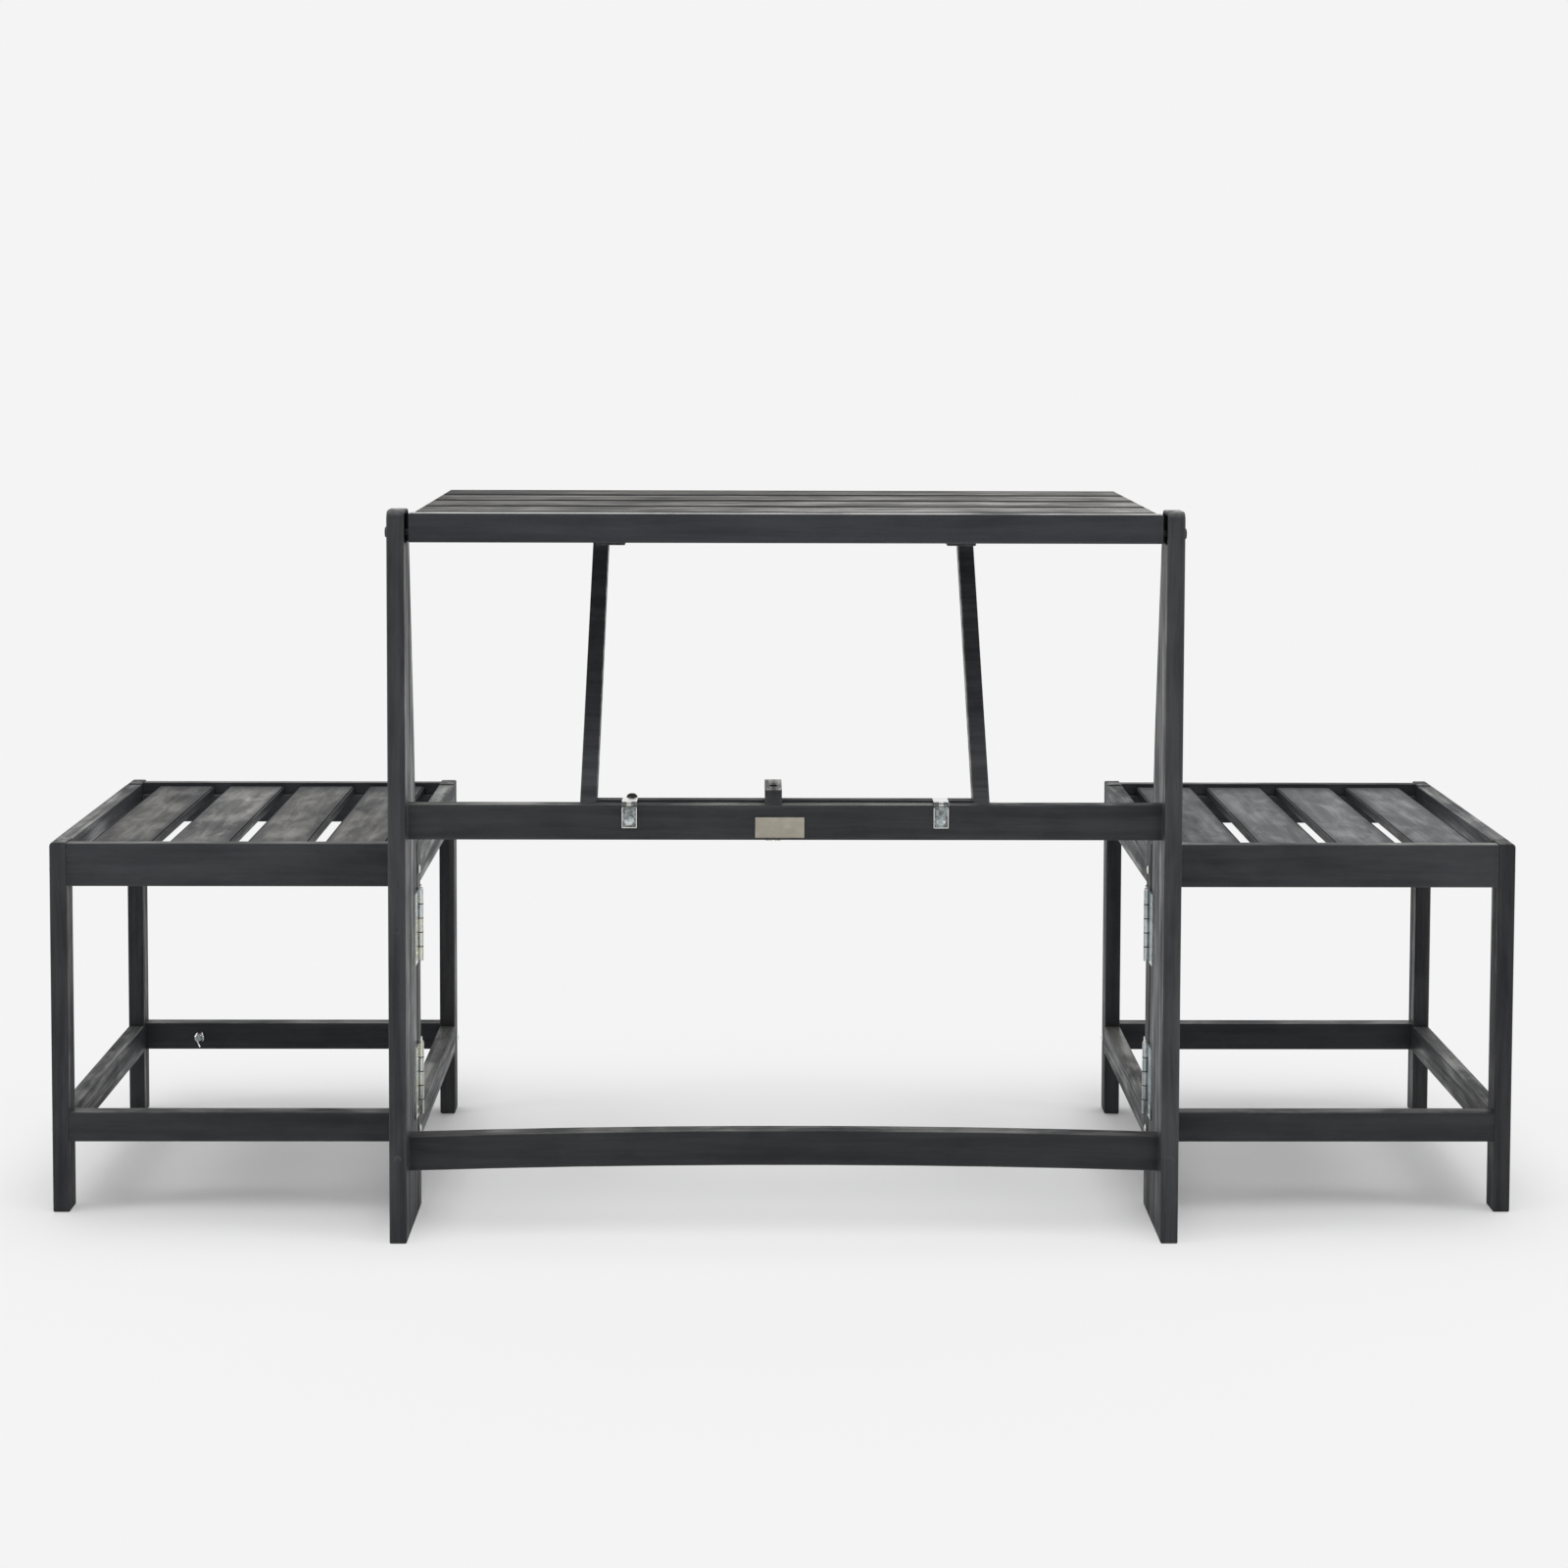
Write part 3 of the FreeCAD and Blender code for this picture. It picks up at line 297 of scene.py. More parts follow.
class Finish:
    """A node tree of a material or of the world."""

    def __init__(self, owner):
        self.owner = owner
        owner.use_nodes = True
        self.tree = owner.node_tree
        self.tree.nodes.clear()

    def add(self, kind, settings=None, inputs=None):
        """A node of one type, with its settings first and then its sockets."""
        node = self.tree.nodes.new(kind)
        for key, value in (settings or {}).items():
            setattr(node, key, value)
        for key, value in (inputs or {}).items():
            socket = node.inputs[key]
            if isinstance(value, Wire):
                self.tree.links.new(value.socket, socket)
            elif isinstance(value, bpy.types.NodeSocket):
                self.tree.links.new(value, socket)
            elif socket.type == "RGBA" and len(value) == 3:
                socket.default_value = (*value, 1.0)
            else:
                socket.default_value = value
        return node

    def coordinates(self, output="Object"):
        return self.add("ShaderNodeTexCoord").outputs[output]

    def parts(self, vector):
        """The three components of a vector."""
        node = self.add("ShaderNodeSeparateXYZ", None, {0: vector})
        return [Wire(self, socket) for socket in node.outputs]

    def vector(self, operation, *values):
        node = self.add("ShaderNodeVectorMath", {"operation": operation},
                        dict(enumerate(values)))
        return node.outputs["Value" if operation == "DOT_PRODUCT" else "Vector"]

    def noise(self, vector, scale, detail=3.0, rough=0.55, warp=0.0):
        """Cloud noise, stretched where scale has three numbers."""
        if not isinstance(scale, (int, float)):
            vector, scale = self.vector("MULTIPLY", vector, scale), 1.0
        node = self.add("ShaderNodeTexNoise", None,
                        {"Vector": vector, "Scale": scale, "Detail": detail,
                         "Roughness": rough, "Distortion": warp})
        return Wire(self, node.outputs[0])

    def chance(self, number):
        """A fixed random value for each whole number."""
        node = self.add("ShaderNodeTexWhiteNoise", {"noise_dimensions": "1D"}, {"W": number})
        return Wire(self, node.outputs[0])

    def mix(self, share, first, second):
        """Second where share is 1, first where it is 0, as colours."""
        node = self.add("ShaderNodeMix", {"data_type": "RGBA"},
                        {0: share, 6: first, 7: second})
        return node.outputs[2]

    def bump(self, height, distance, strength):
        return self.add("ShaderNodeBump", None, {"Height": height, "Distance": distance,
                                                 "Strength": strength}).outputs["Normal"]

    def edges(self, radius):
        """1 on an edge and 0 a radius away from it."""
        soft = self.add("ShaderNodeBevel", {"samples": 6}, {"Radius": radius}).outputs[0]
        flat = self.add("ShaderNodeNewGeometry").outputs["Normal"]
        return (1.0 - Wire(self, self.vector("DOT_PRODUCT", soft, flat))).step(0.01, 0.11)

    def round_off(self, across, along, radius, soft):
        """1 within a radius of the line where across and along are 0, and 0 outside it. Soft
        is the share of the squared radius over which it falls to either side."""
        square = across * across + along * along
        return square.fall(radius ** 2 * (1 - soft), radius ** 2 * (1 + soft))

    def surface(self, dark=None, **inputs):
        """The shader itself, with the sockets given by name, and painted shade, a flat near-black,
        where dark is 1.
        """
        out = self.add("ShaderNodeBsdfPrincipled", None,
                       {key.replace("_", " "): value for key, value in inputs.items()}).outputs[0]
        if dark is not None:
            # Painted shade: a flat near-black where dark is 1
            painted_shade_black = self.add("ShaderNodeBsdfDiffuse", None, {"Color": PAINTED_SHADE_BLACK})
            out = self.add("ShaderNodeMixShader", None,
                           {0: dark.clip(), 1: out, 2: painted_shade_black.outputs[0]}).outputs[0]
        self.add("ShaderNodeOutputMaterial", None, {"Surface": out})
        return self.owner


def new_finish(name):
    return Finish(bpy.data.materials.new(name))


def paint(thing, material):
    thing.data.materials.clear()
    thing.data.materials.append(material)


def scaled(colour, *factors):
    """A colour times one factor, or times a factor for each of its parts."""
    factors = factors * 3 if len(factors) == 1 else factors
    return [min(1.0, c * f) for c, f in zip(colour, factors)]


# Boards

# Turns that bring a board's grain onto the x axis
GRAIN = {"x": (0, 0, 0), "y": (0, 0, math.radians(-90)), "z": (0, math.radians(90), 0)}

# Boards side by side in one node. They follow each other across one axis, from first on and
# a pitch apart, and run along another axis from low to high
Slats = namedtuple("Slats", "across first pitch width along low high")


def slat_pattern(finish, place, slats, rows, slope, seam):
    """How far a point lies inside the rims of its slat, which are darkened as painted shade, how
    much its slat was wiped, painted shade lines on its long edges beside the gaps, and a shift
    that gives each slat its own grain. Rows holds an amount of wiping for each slat, slope is how
    it grows per metre along them, and seam is the width of the painted shade lines."""
    where = finish.parts(place)
    row = ((where[slats.across] - slats.first) / slats.pitch).floor()
    inside = where[slats.across] - slats.first - row * slats.pitch
    # Rims along a slat's sides and ends get less wiping: painted shade where it meets its neighbours
    # and the rails
    side_rim = 0.013
    end_rim = 0.05
    body = (inside.step(0.0, side_rim) * (slats.width - inside).step(0.0, side_rim)
            * (where[slats.along] - slats.low).step(0.0, end_rim)
            * (slats.high - where[slats.along]).step(0.0, end_rim))
    luck = where[slats.along] * slope + 1.0
    for number, amount in enumerate(rows):
        luck = row.is_number(number) * (amount - 1.0) + luck
    # Painted shade lines on the long edges, beside the gaps between slats
    line = 1.0 - (inside.step(seam * 0.4, seam * 0.9)
                  * (slats.width - inside).step(seam * 0.5, seam))
    shift = finish.add("ShaderNodeCombineXYZ", None,
                       {0: row * 3.17, 1: row * 1.71, 2: row * 0.93}).outputs[0]
    return body, luck, line, shift


def grain_fields(finish, axes):
    """Noise that is stretched along x and sways a little: coarse streaks, fine fibre, year
    rings, rubbed patches and wide clouds."""
    sway = finish.add("ShaderNodeTexNoise", None,
                      {"Vector": finish.vector("MULTIPLY", axes, (3.0, 9.0, 9.0)),
                       "Scale": 1.0, "Detail": 2.0}).outputs[1]
    sway = finish.vector("SUBTRACT", sway, (0.5, 0.5, 0.5))
    axes = finish.vector("ADD", axes, finish.vector("MULTIPLY", sway, (0.0, 0.02, 0.02)))
    streak = finish.noise(axes, (5.0, 110.0, 110.0), 4.0, 0.62)
    fibre = finish.noise(axes, (34.0, 760.0, 760.0), 2.0, 0.6)
    rings = (finish.noise(axes, (1.5, 17.0, 17.0), 1.0, 0.4) * 32.0).wave() * 0.5 + 0.5
    patch = finish.noise(axes, (15.0, 40.0, 40.0), 3.0, 0.6, 0.35)
    cloud = finish.noise(axes, (4.5, 9.0, 9.0), 2.0, 0.5)
    return streak, fibre, rings, patch, cloud


def box_shade(finish, place, least, most):
    """1 inside a box and 0 outside it, with soft sides."""
    soft = 0.003
    dark = 1.0
    for value, low, high in zip(finish.parts(place), least, most):
        dark = (value - low).step(0.0, soft) * (high - value).step(0.0, soft) * dark
    return dark


def stained_board(name, along, seed, tone=1.0, cool=0.0, warm=0.0, wear=1.0, pale=1.0,
                  even=0.0, streaks=0.3, dull=0.0, shine=0.0, slats=None, rows=(), slope=0.0,
                  seam=0.0, bore=None, shade=None):
    """Satin near-black stain, brushed thin along the grain and wiped pale on tops, whose paler
    colour is partly painted light from above. Seed picks a stretch of grain. Tone lightens the
    stain, cool turns it blue and warm turns the wiped wood brown. Wear is how much is wiped and
    rubbed, pale how light it gets, even how evenly it was wiped, and streaks how strong the
    streaks are. Dull roughens a board and shine smooths its top. Slats, rows, slope and seam are
    those of slat_pattern, a bore is painted shade in a hole, a black disc with an x, a y and a
    radius, and a shade is a painted shadow, a dark box between two corners."""
    looks = bpy.context.scene.bench_looks.boards
    finish = new_finish(name)
    place = finish.coordinates()
    turn = GRAIN[along] if isinstance(along, str) else along
    axes = finish.add("ShaderNodeMapping", None, {"Vector": place, "Rotation": turn}).outputs[0]
    axes = finish.vector("ADD", axes, [seed * stride % 5 for stride in (1.37, 2.71, 0.83)])
    body = 1.0
    luck = pale
    dark = None
    if slats:
        body, luck, dark, shift = slat_pattern(finish, place, slats, rows, slope, seam)
        axes = finish.vector("ADD", axes, shift)
    streak, fibre, rings, patch, cloud = grain_fields(finish, axes)
    # The tops, where the wiping also paints light from above
    up = finish.parts(finish.coordinates("Normal"))[2].step(0.75, 0.97)

    # Stain from thick to thin
    thin = ((streak.step(0.36, 0.7) - 0.5) * streaks * 1.67 + 0.25 + rings * 0.2
            + (patch - 0.5) * 0.7 + (cloud - 0.5) * 0.8 + (fibre - 0.5) * 0.5).clip()
    tones = (tone * (1 - cool), tone, tone * (1 + cool))
    colour = finish.mix(thin, scaled(looks.stain, *tones), scaled(looks.thin, *tones))

    # Wood that shows through where tops were wiped, with painted light from above that makes the tops
    # paler than the sides
    wipe = (patch.step(0.36, 0.68) * 0.5 + cloud.step(0.38, 0.62) * 0.4 + (fibre - 0.5) * 0.5
            + (streak - 0.5) * streaks * 2.67) * (1.0 - even) + even * 0.45
    wipe = wipe * up * (body * 0.88 + 0.12) * wear
    wipe = (wipe * luck).clip()
    worn = scaled(scaled(looks.worn, pale), 1 + warm, 1 + warm * 0.4, 1 - warm * 0.7)
    colour = finish.mix(wipe * 0.75, colour, worn)

    # Rubbed edges: wear, with a painted highlight on their rounding
    rub = finish.edges(0.0024) * (cloud.step(0.4, 0.6) * 0.5 + streak.step(0.42, 0.66) * 0.45
                                  + 0.12)
    colour = finish.mix((rub * wear * 0.62).clip(), colour, scaled(looks.edge, 1 + warm * 0.3))

    # Shine in patches and streaks, duller on tops that weren't wiped
    gloss = (patch.step(0.36, 0.64) - 0.5) * 0.12 + (streak.step(0.34, 0.66) - 0.5) * streaks
    rough = (looks.rough + dull - gloss - wipe * 0.16 + (fibre - 0.5) * 0.25
             + up * (1.0 - wipe) * 0.14 - up * shine)
    if slats:
        rough = rough + (1.0 - luck) * 0.5
        # The painted shade lines show on the tops alone
        dark = dark * up
    if shade:
        # Painted shadow: a dark box
        dark = box_shade(finish, place, *shade)
    if bore:
        # Painted shade inside the pin hole: a black disc
        x, y = finish.parts(place)[:2]
        dark = finish.round_off(x - bore[0], y - bore[1], bore[2], 0.06)
    relief = finish.bump(streak * 0.6 + fibre * 0.6 + rings * 0.2 + patch * 0.4, 0.0004, 0.6)
    return finish.surface(dark, Base_Color=colour, Roughness=rough.clip(), Normal=relief,
                          Specular_IOR_Level=0.33)


def plank_look(name):
    """A plank, with a painted shadow on its inner face where the table's front rail ends."""
    low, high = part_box("table_front_rail")
    inner = -PLANK_IN if "left" in name else PLANK_IN
    return {"along": "z", "tone": 1.23 if "left" in name else 1.42,
            "shade": ((inner - 0.005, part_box(name)[0].y + 0.001, low.z - 0.003),
                      (inner + 0.005, 1.0, high.z + 0.001))}


def table_board_look(name):
    """The four boards of the table top, whose ends have no painted shade rim."""
    low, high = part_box(name)
    pitch = (high.y - low.y + TABLE_GAP) / 4
    past_end = 0.03
    return {"along": "x", "warm": 0.12, "wear": 1.05, "even": 0.25, "seam": 0.0085,
            "rows": (1.1, 0.95, 0.85, 0.65), "slope": 0.6,
            "slats": Slats(across=1, first=low.y, pitch=pitch, width=pitch - TABLE_GAP,
                           along=0, low=low.x - past_end, high=high.x + past_end)}


def seat_slat_look(name):
    """The four slats of a seat. The right seat was wiped more evenly than the left one."""
    low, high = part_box(name)
    look = {"along": "y", "streaks": 0.12, "seam": 0.003,
            "slats": Slats(across=0, first=low.x, pitch=(high.x - low.x - SEAT_SLAT) / 3,
                           width=SEAT_SLAT, along=1, low=low.y, high=high.y)}
    if "left" in name:
        look.update(wear=0.95, warm=0.06, even=0.1, rows=(0.85, 1.15, 0.95, 0.9))
    else:
        look.update(wear=0.85, warm=-0.12, even=0.45, rows=(1.0, 1.05, 1.15, 1.1))
    return look


def seat_rail_look(name):
    """An apron or stretcher. The inner and outer ones run to the back, the others across. Stretchers
    take a darker tone, painted shade low under the seat.
    """
    to_back = name.endswith(("inner", "outer"))
    return {"along": "y" if to_back else "x", "tone": 1.2 if "apron" in name else 0.88,
            "cool": 0.03, "wear": 1.0 if to_back else 0.85,
            "streaks": 0.3 if to_back else 0.14}


def leg_look(name):
    """A leg. The rear ones are darker as painted shade, and those of the right seat are darker too.
    """
    front = 1.0 if "left" in name else 0.76
    return {"along": "z", "wear": 0.9, "dull": 0.08, "tone": 0.82 if "rear" in name else front}


def arm_look(name):
    """An arm of the prop frame, whose grain runs along its lean. Its light tone is painted light on
    faces that lean away from the light.
    """
    return {"along": (math.pi / 2 - ARM_LEAN, 0, 0), "wear": 0.4,
            "tone": 1.5 if "left" in name else 1.75}


RAIL_LOOKS = {
    "mid_rail": {"tone": 0.94, "cool": 0.02, "wear": 1.3},
    "lower_rail": {"tone": 0.74, "cool": 0.02, "wear": 0.8},
    "table_front_rail": {"tone": 1.03, "cool": 0.07, "wear": 1.5, "pale": 1.3, "shine": 0.3},
    "prop_crossbar": {"tone": 0.8, "cool": 0.02, "wear": 0.15},
}


def board_look(name):
    """What stained_board is told about a node, or None where the node isn't wood."""
    if name in RAIL_LOOKS:
        return {"along": "x", "streaks": 0.2, **RAIL_LOOKS[name]}
    if name == "stop_block":
        return {"along": "y", "pale": 2.2, "shine": 0.2, "bore": PIN_HOLE}
    if name.startswith("table_batten"):
        return {"along": "y", "tone": 1.1, "wear": 0.7}
    for word, look in (("plank_", plank_look), ("table_slats", table_board_look),
                       ("_slats", seat_slat_look), ("prop_arm", arm_look),
                       ("_leg_", leg_look), ("_apron_", seat_rail_look),
                       ("_stretcher_", seat_rail_look)):
        if word in name:
            return look(name)
    return None


class BENCH_OT_stain_boards(bpy.types.Operator):
    """Stain every board along its own grain"""
    bl_idname = "bench.stain_boards"
    bl_label = "Stain the boards"

    def execute(self, context):
        for number, name in enumerate(sorted(NODES)):
            look = board_look(name)
            if look:
                paint(NODES[name], stained_board(name + "_stain", seed=number + 1.0, **look))
        return {"FINISHED"}


# Metal finishes

def latch_lines(y, z, heights):
    """Painted shade lines at the given heights, on the front of a latch's knuckle."""
    front = y.fall(LATCH_LINE, LATCH_LINE + 0.0004)
    shade = 0.0
    for height in heights:
        shade = abs(z - height).fall(0.00022, 0.00048) * front + shade
    return shade


def hinge_lines(finish, y, z, drift):
    """Painted shade lines in the gaps between a hinge's knuckles and in the creases beside the
    barrel, and a drift of tint that changes from knuckle to knuckle."""
    barrel = 0.004
    side = abs(y - HINGE_LINE)
    shade = 0.0
    for foot in HINGE_FEET:
        height = z - foot
        turn = height / KNUCKLE
        # Painted shade in the gaps between knuckles, on the barrel between its two ends
        near = abs(turn - (turn + 0.5).floor()) * KNUCKLE
        here = height.step(0.006, 0.007) * height.fall(0.069, 0.070) * side.fall(0.0034, 0.0038)
        shade = near.fall(0.0003, 0.0008) * here + shade
        # Painted shade runs up either side of the barrel, in the crease by the leaves
        beside = abs(side - barrel).fall(0.0003, 0.0009, 0.75)
        shade = beside * height.step(-0.001, 0.0) + shade
        drift = drift * 0.6 + finish.chance(turn.floor() + foot * 100) * 0.35
    return shade, drift


def plated(name, colour, second, rough, brushed=(1, 1, 1), joints=False, grooves=(), core=None):
    """Plating that drifts between two tints, with brush marks, dull spots and rubbed edges that
    carry a painted highlight. With joints it has a hinge's painted shade lines, grooves are the
    heights of a latch's painted shade lines, and a core is painted shade over a round hollow
    middle with an x, a z and a radius."""
    finish = new_finish(name)
    place = finish.coordinates()
    drift = finish.noise(place, 330.0 if grooves else 90.0, 3.0, 0.6).step(0.42, 0.6)
    brush = finish.noise(place, tuple(900.0 * b for b in brushed), 3.0, 0.6)
    spots = finish.noise(place, 420.0, 2.0, 0.5).step(0.58, 0.75)
    x, y, z = finish.parts(place)
    shade = 0.0
    if grooves:
        shade = latch_lines(y, z, grooves)
    if joints:
        shade, drift = hinge_lines(finish, y, z, drift)
    # Painted shade over a round hollow middle
    if core:
        shade = finish.round_off(x - core[0], z - core[1], core[2], 0.15)
    tint = finish.mix(drift, colour, second)
    tint = finish.mix(spots * 0.45, tint, scaled(colour, 0.45))
    # Rubbed edges: wear, with a painted highlight
    tint = finish.mix(finish.edges(0.0005) * 0.35, tint, ZINC_WEAR_AND_HIGHLIGHT)
    # Painted shade of joints, grooves and a hollow core, mixed towards a near-black
    if joints or grooves or core:
        tint = finish.mix((shade * 0.93).clip(), tint, PAINTED_METAL_SHADE)
    rough = (rough + (brush - 0.5) * 0.3 + spots * 0.2 + shade * 0.4).clip()
    return finish.surface(Base_Color=tint, Metallic=1.0, Roughness=rough,
                          Normal=finish.bump(brush + drift, 0.00004, 0.5))


def capped(name, colour):
    """Black oxide on a bolt head, dusty and rubbed on its rim."""
    finish = new_finish(name)
    dust = finish.noise(finish.coordinates(), 260.0, 3.0, 0.6)
    rub = finish.edges(0.0008) * dust.step(0.4, 0.6)
    return finish.surface(Base_Color=finish.mix(rub * 0.4, colour, DUST),
                          Metallic=0.4, Roughness=(0.32 + dust * 0.2).clip(),
                          Normal=finish.bump(dust, 0.00005, 0.4))


def champagne(name, colour):
    """Brushed metal with a cloud of wear, and rubbed edges that carry a painted highlight."""
    finish = new_finish(name)
    place = finish.coordinates()
    brush = finish.noise(place, (60.0, 60.0, 2600.0))
    cloud = finish.noise(place, 90.0, 2.0)
    tint = finish.mix(cloud.step(0.35, 0.65) * 0.5, colour, scaled(colour, 0.75))
    # Rubbed edges: wear, with a painted highlight
    tint = finish.mix(finish.edges(0.0005) * 0.6, tint, CHAMPAGNE_WEAR_AND_HIGHLIGHT)
    return finish.surface(Base_Color=tint, Metallic=1.0,
                          Roughness=(0.4 + (brush - 0.5) * 0.3).clip(),
                          Normal=finish.bump(brush, 0.00004, 0.4))


class BENCH_OT_plate_fittings(bpy.types.Operator):
    """Plate the hinges, latches, bolts and screws"""
    bl_idname = "bench.plate_fittings"
    bl_label = "Plate the fittings"

    def execute(self, context):
        looks = context.scene.bench_looks.fittings
        lengthwise = (1, 1, 0.06)
        zinc = plated("clear_zinc", looks.zinc, looks.cream, 0.3)
        hinge = plated("hinge_zinc", looks.zinc, looks.cream, 0.27, lengthwise, joints=True)
        dull = plated("hinge_zinc_dull", looks.bluish, looks.zinc, 0.3, lengthwise, joints=True)
        latch = plated("latch_zinc", scaled(looks.latch, 0.7), scaled(looks.bluish, 0.95), 0.45,
                       grooves=LATCH_GROOVES)
        flap = plated("flap_zinc", looks.white, looks.white, 0.2, (0.08, 1, 1),
                      grooves=LATCH_GROOVES)
        # The lock bolt is a darkened copy of the dull zinc: painted shade in the nut's hollow middle
        worn = plated("lock_bolt_shaded_zinc", scaled(looks.bluish, 0.3), looks.bluish, 0.4)
        black = capped("black_cap", looks.cap)
        for name, thing in NODES.items():
            if name in ("table_pivot_bolts", "prop_screws", "prop_pivot_bolts", "rail_bolts"):
                paint(thing, black)
            elif "hinge_leaves" in name or name == "hinge_pins":
                paint(thing, dull if "right" in name else hinge)
            elif name.startswith("latch_flap"):
                paint(thing, flap)
            elif name.startswith("latch"):
                paint(thing, latch)
            elif name == "lock_bolt":
                paint(thing, worn)
            elif "bolt" in name or "screw" in name or name == "wing_nut":
                paint(thing, zinc)
        return {"FINISHED"}


# Surfaces

def shell(name, grids, body, material, replaced=()):
    """A mesh from grids of points. A grid's columns go once round and its rows run from one
    pole to the other, where a row of one repeated point is a pole, so that it is closed."""
    points = []
    faces = []
    first = 0
    for grid in grids:
        rows, columns = grid.shape[:2]
        i, j = np.meshgrid(np.arange(rows - 1), np.arange(columns), indexing="ij")
        k = (j + 1) % columns
        quads = np.stack([i * columns + j, i * columns + k, (i + 1) * columns + k,
                          (i + 1) * columns + j], -1).reshape(-1, 4)
        points.append(grid.reshape(-1, 3))
        faces.append(quads + first)
        first += rows * columns
    mesh = bpy.data.meshes.new(name)
    mesh.from_pydata(np.concatenate(points).tolist(), [], np.concatenate(faces).tolist())
    work = bmesh.new()
    work.from_mesh(mesh)
    bmesh.ops.remove_doubles(work, verts=work.verts, dist=1e-6)
    bmesh.ops.dissolve_degenerate(work, edges=work.edges, dist=1e-7)
    bmesh.ops.recalc_face_normals(work, faces=work.faces)
    work.to_mesh(mesh)
    work.free()
    mesh.polygons.foreach_set("use_smooth", np.ones(len(mesh.polygons), bool))
    mesh.set_sharp_from_angle(angle=SHARP)
    thing = bpy.data.objects.new(name, mesh)
    bpy.context.scene.collection.objects.link(thing)
    paint(thing, material)
    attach(thing, body)
    if replaced:
        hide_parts(*replaced)


def once_round(count, start=0.0):
    """Angles once round a circle, from a share of it on."""
    return (np.arange(count) / count + start) * 2 * math.pi


def turned(spot, axis, rings):
    """A turned piece. Each ring is a radius, which may change round the piece, and a height
    along the axis from the spot: point = spot + height * axis + radius * (cos t * u + sin t * v),
    where t goes once round and u and v are square to the axis."""
    axis = np.array(axis, float)
    u = np.cross(axis, (0, 0, 1.0) if abs(axis[2]) < 0.9 else (1.0, 0, 0))
    v = np.cross(axis, u)
    t = once_round(ROUND)
    rows = []
    for radius, height in rings:
        radius = np.broadcast_to(radius, t.shape)[:, None]
        rows.append(np.array(spot) + height * axis
                    + radius * (np.cos(t)[:, None] * u + np.sin(t)[:, None] * v))
    return np.stack(rows)


def carried(path, across, deep, width, thick):
    """An oval carried along a path: at each point it is width * cos t along across and
    thick * sin t along deep, and the two ends close on their own middles."""
    t = once_round(16)
    path = np.asarray(path, float)
    across = np.asarray(across, float)
    width = np.broadcast_to(width, len(path))[:, None, None]
    thick = np.broadcast_to(thick, len(path))[:, None, None]
    ring = (path[:, None, :] + width * np.cos(t)[None, :, None] * across[:, None, :]
            + thick * np.sin(t)[None, :, None] * np.asarray(deep, float)[None, None, :])
    ends = [np.repeat(path[k][None, None], len(t), 1) for k in (0, -1)]
    return np.concatenate([ends[0], ring, ends[1]])


def cross_outline(length, width):
    """Radius of a cross at each angle t: the further of two bars, where a bar reaches
    min(length / |cos t|, width / |sin t|) and the other bar is a quarter turn on."""
    t = once_round(ROUND, 1 / 16)
    c = np.abs(np.cos(t)) + 1e-9
    s = np.abs(np.sin(t)) + 1e-9
    return np.maximum(np.minimum(length / c, width / s), np.minimum(length / s, width / c))


def hexagon_outline(half):
    """Radius of a hexagon at each angle t: half / cos(t folded into 60 degrees about 0)."""
    t = once_round(ROUND)
    return half / np.cos((t + math.pi / 6) % (math.pi / 3) - math.pi / 6)


def rounded_outline(width, height, radius, count):
    """Points round a rounded rectangle: angle t goes once round, and each corner is the
    quarter circle whose centre lies radius in from both sides."""
    t = once_round(count, 0.5 / count)
    cx = np.sign(np.cos(t)) * (width / 2 - radius)
    cz = np.sign(np.sin(t)) * (height / 2 - radius)
    return np.stack([cx + radius * np.cos(t), cz + radius * np.sin(t)], -1)


# Screws and bolts

def headed(spot, out, recess, dome, radius, height, depth, shank, length):
    """Rings of a screw or bolt whose head sits with its underside on the spot: a shank,
    a rim of the given height less its dome, a dome z = h * (1 - (r / R)^2) and a recess."""
    rim = height - dome
    rings = [(0, -length), (shank, -length), (shank, 0), (radius * 0.97, 0), (radius, rim * 0.3),
             (radius, rim)]
    for share in (0.94, 0.84, 0.7):
        rings.append((radius * share, rim + dome * (1 - share ** 2)))
    top = rim + dome * 0.86
    rings += [(recess * 1.06, top), (recess, top - 0.0001), (recess * 0.86, top - depth),
              (0, top - depth * 1.1)]
    return turned(spot, out, rings)


def drive_latch_screws(looks, material):
    recess = cross_outline(length=0.0026, width=looks.slot)
    grids = [headed((side * LATCH_OUT, LATCH_FACE, LATCH_SCREW_HEIGHT), FORWARD, recess,
                    looks.screw_dome, **LATCH_SCREW)
             for side in (-1, 1)]
    shell("latch_screws_crossed", grids, "frame", material, ["latch_screws"])


def drive_hinge_screws(node, body, sides, looks, material):
    """The screws of one row of hinge leaves, driven outwards from between the planks, with
    their heads sunk into the leaves."""
    low, high = corners(node)
    y = round((low[1] + high[1]) / 2, 6)
    x = PLANK_IN - 0.0005
    recess = cross_outline(length=0.0017, width=looks.slot * 0.75)
    grids = [headed((side * x, y, foot + rise), (-side, 0, 0), recess, looks.hinge_dome,
                    **HINGE_SCREW)
             for side in sides for foot in HINGE_FEET for rise in HINGE_SCREW_RISES]
    shell(node + "_crossed", grids, body, material, [node])


def drive_seat_bolts(label, side, looks, material):
    """Bolts through a seat's inner and outer legs, with their heads on either end."""
    socket = hexagon_outline(looks.socket)
    grids = [headed((side * x, y, z), (out, 0, 0), socket, looks.bolt_dome, **SEAT_BOLT)
             for y in SEAT_BOLT_LINES for z in SEAT_BOLT_HEIGHTS
             for x, out in ((PLANK_IN, -side), (SEAT_OUT, side))]
    node = "seat_%s_bolts" % label
    shell(node + "_socketed", grids, "seat_" + label, material, [node])


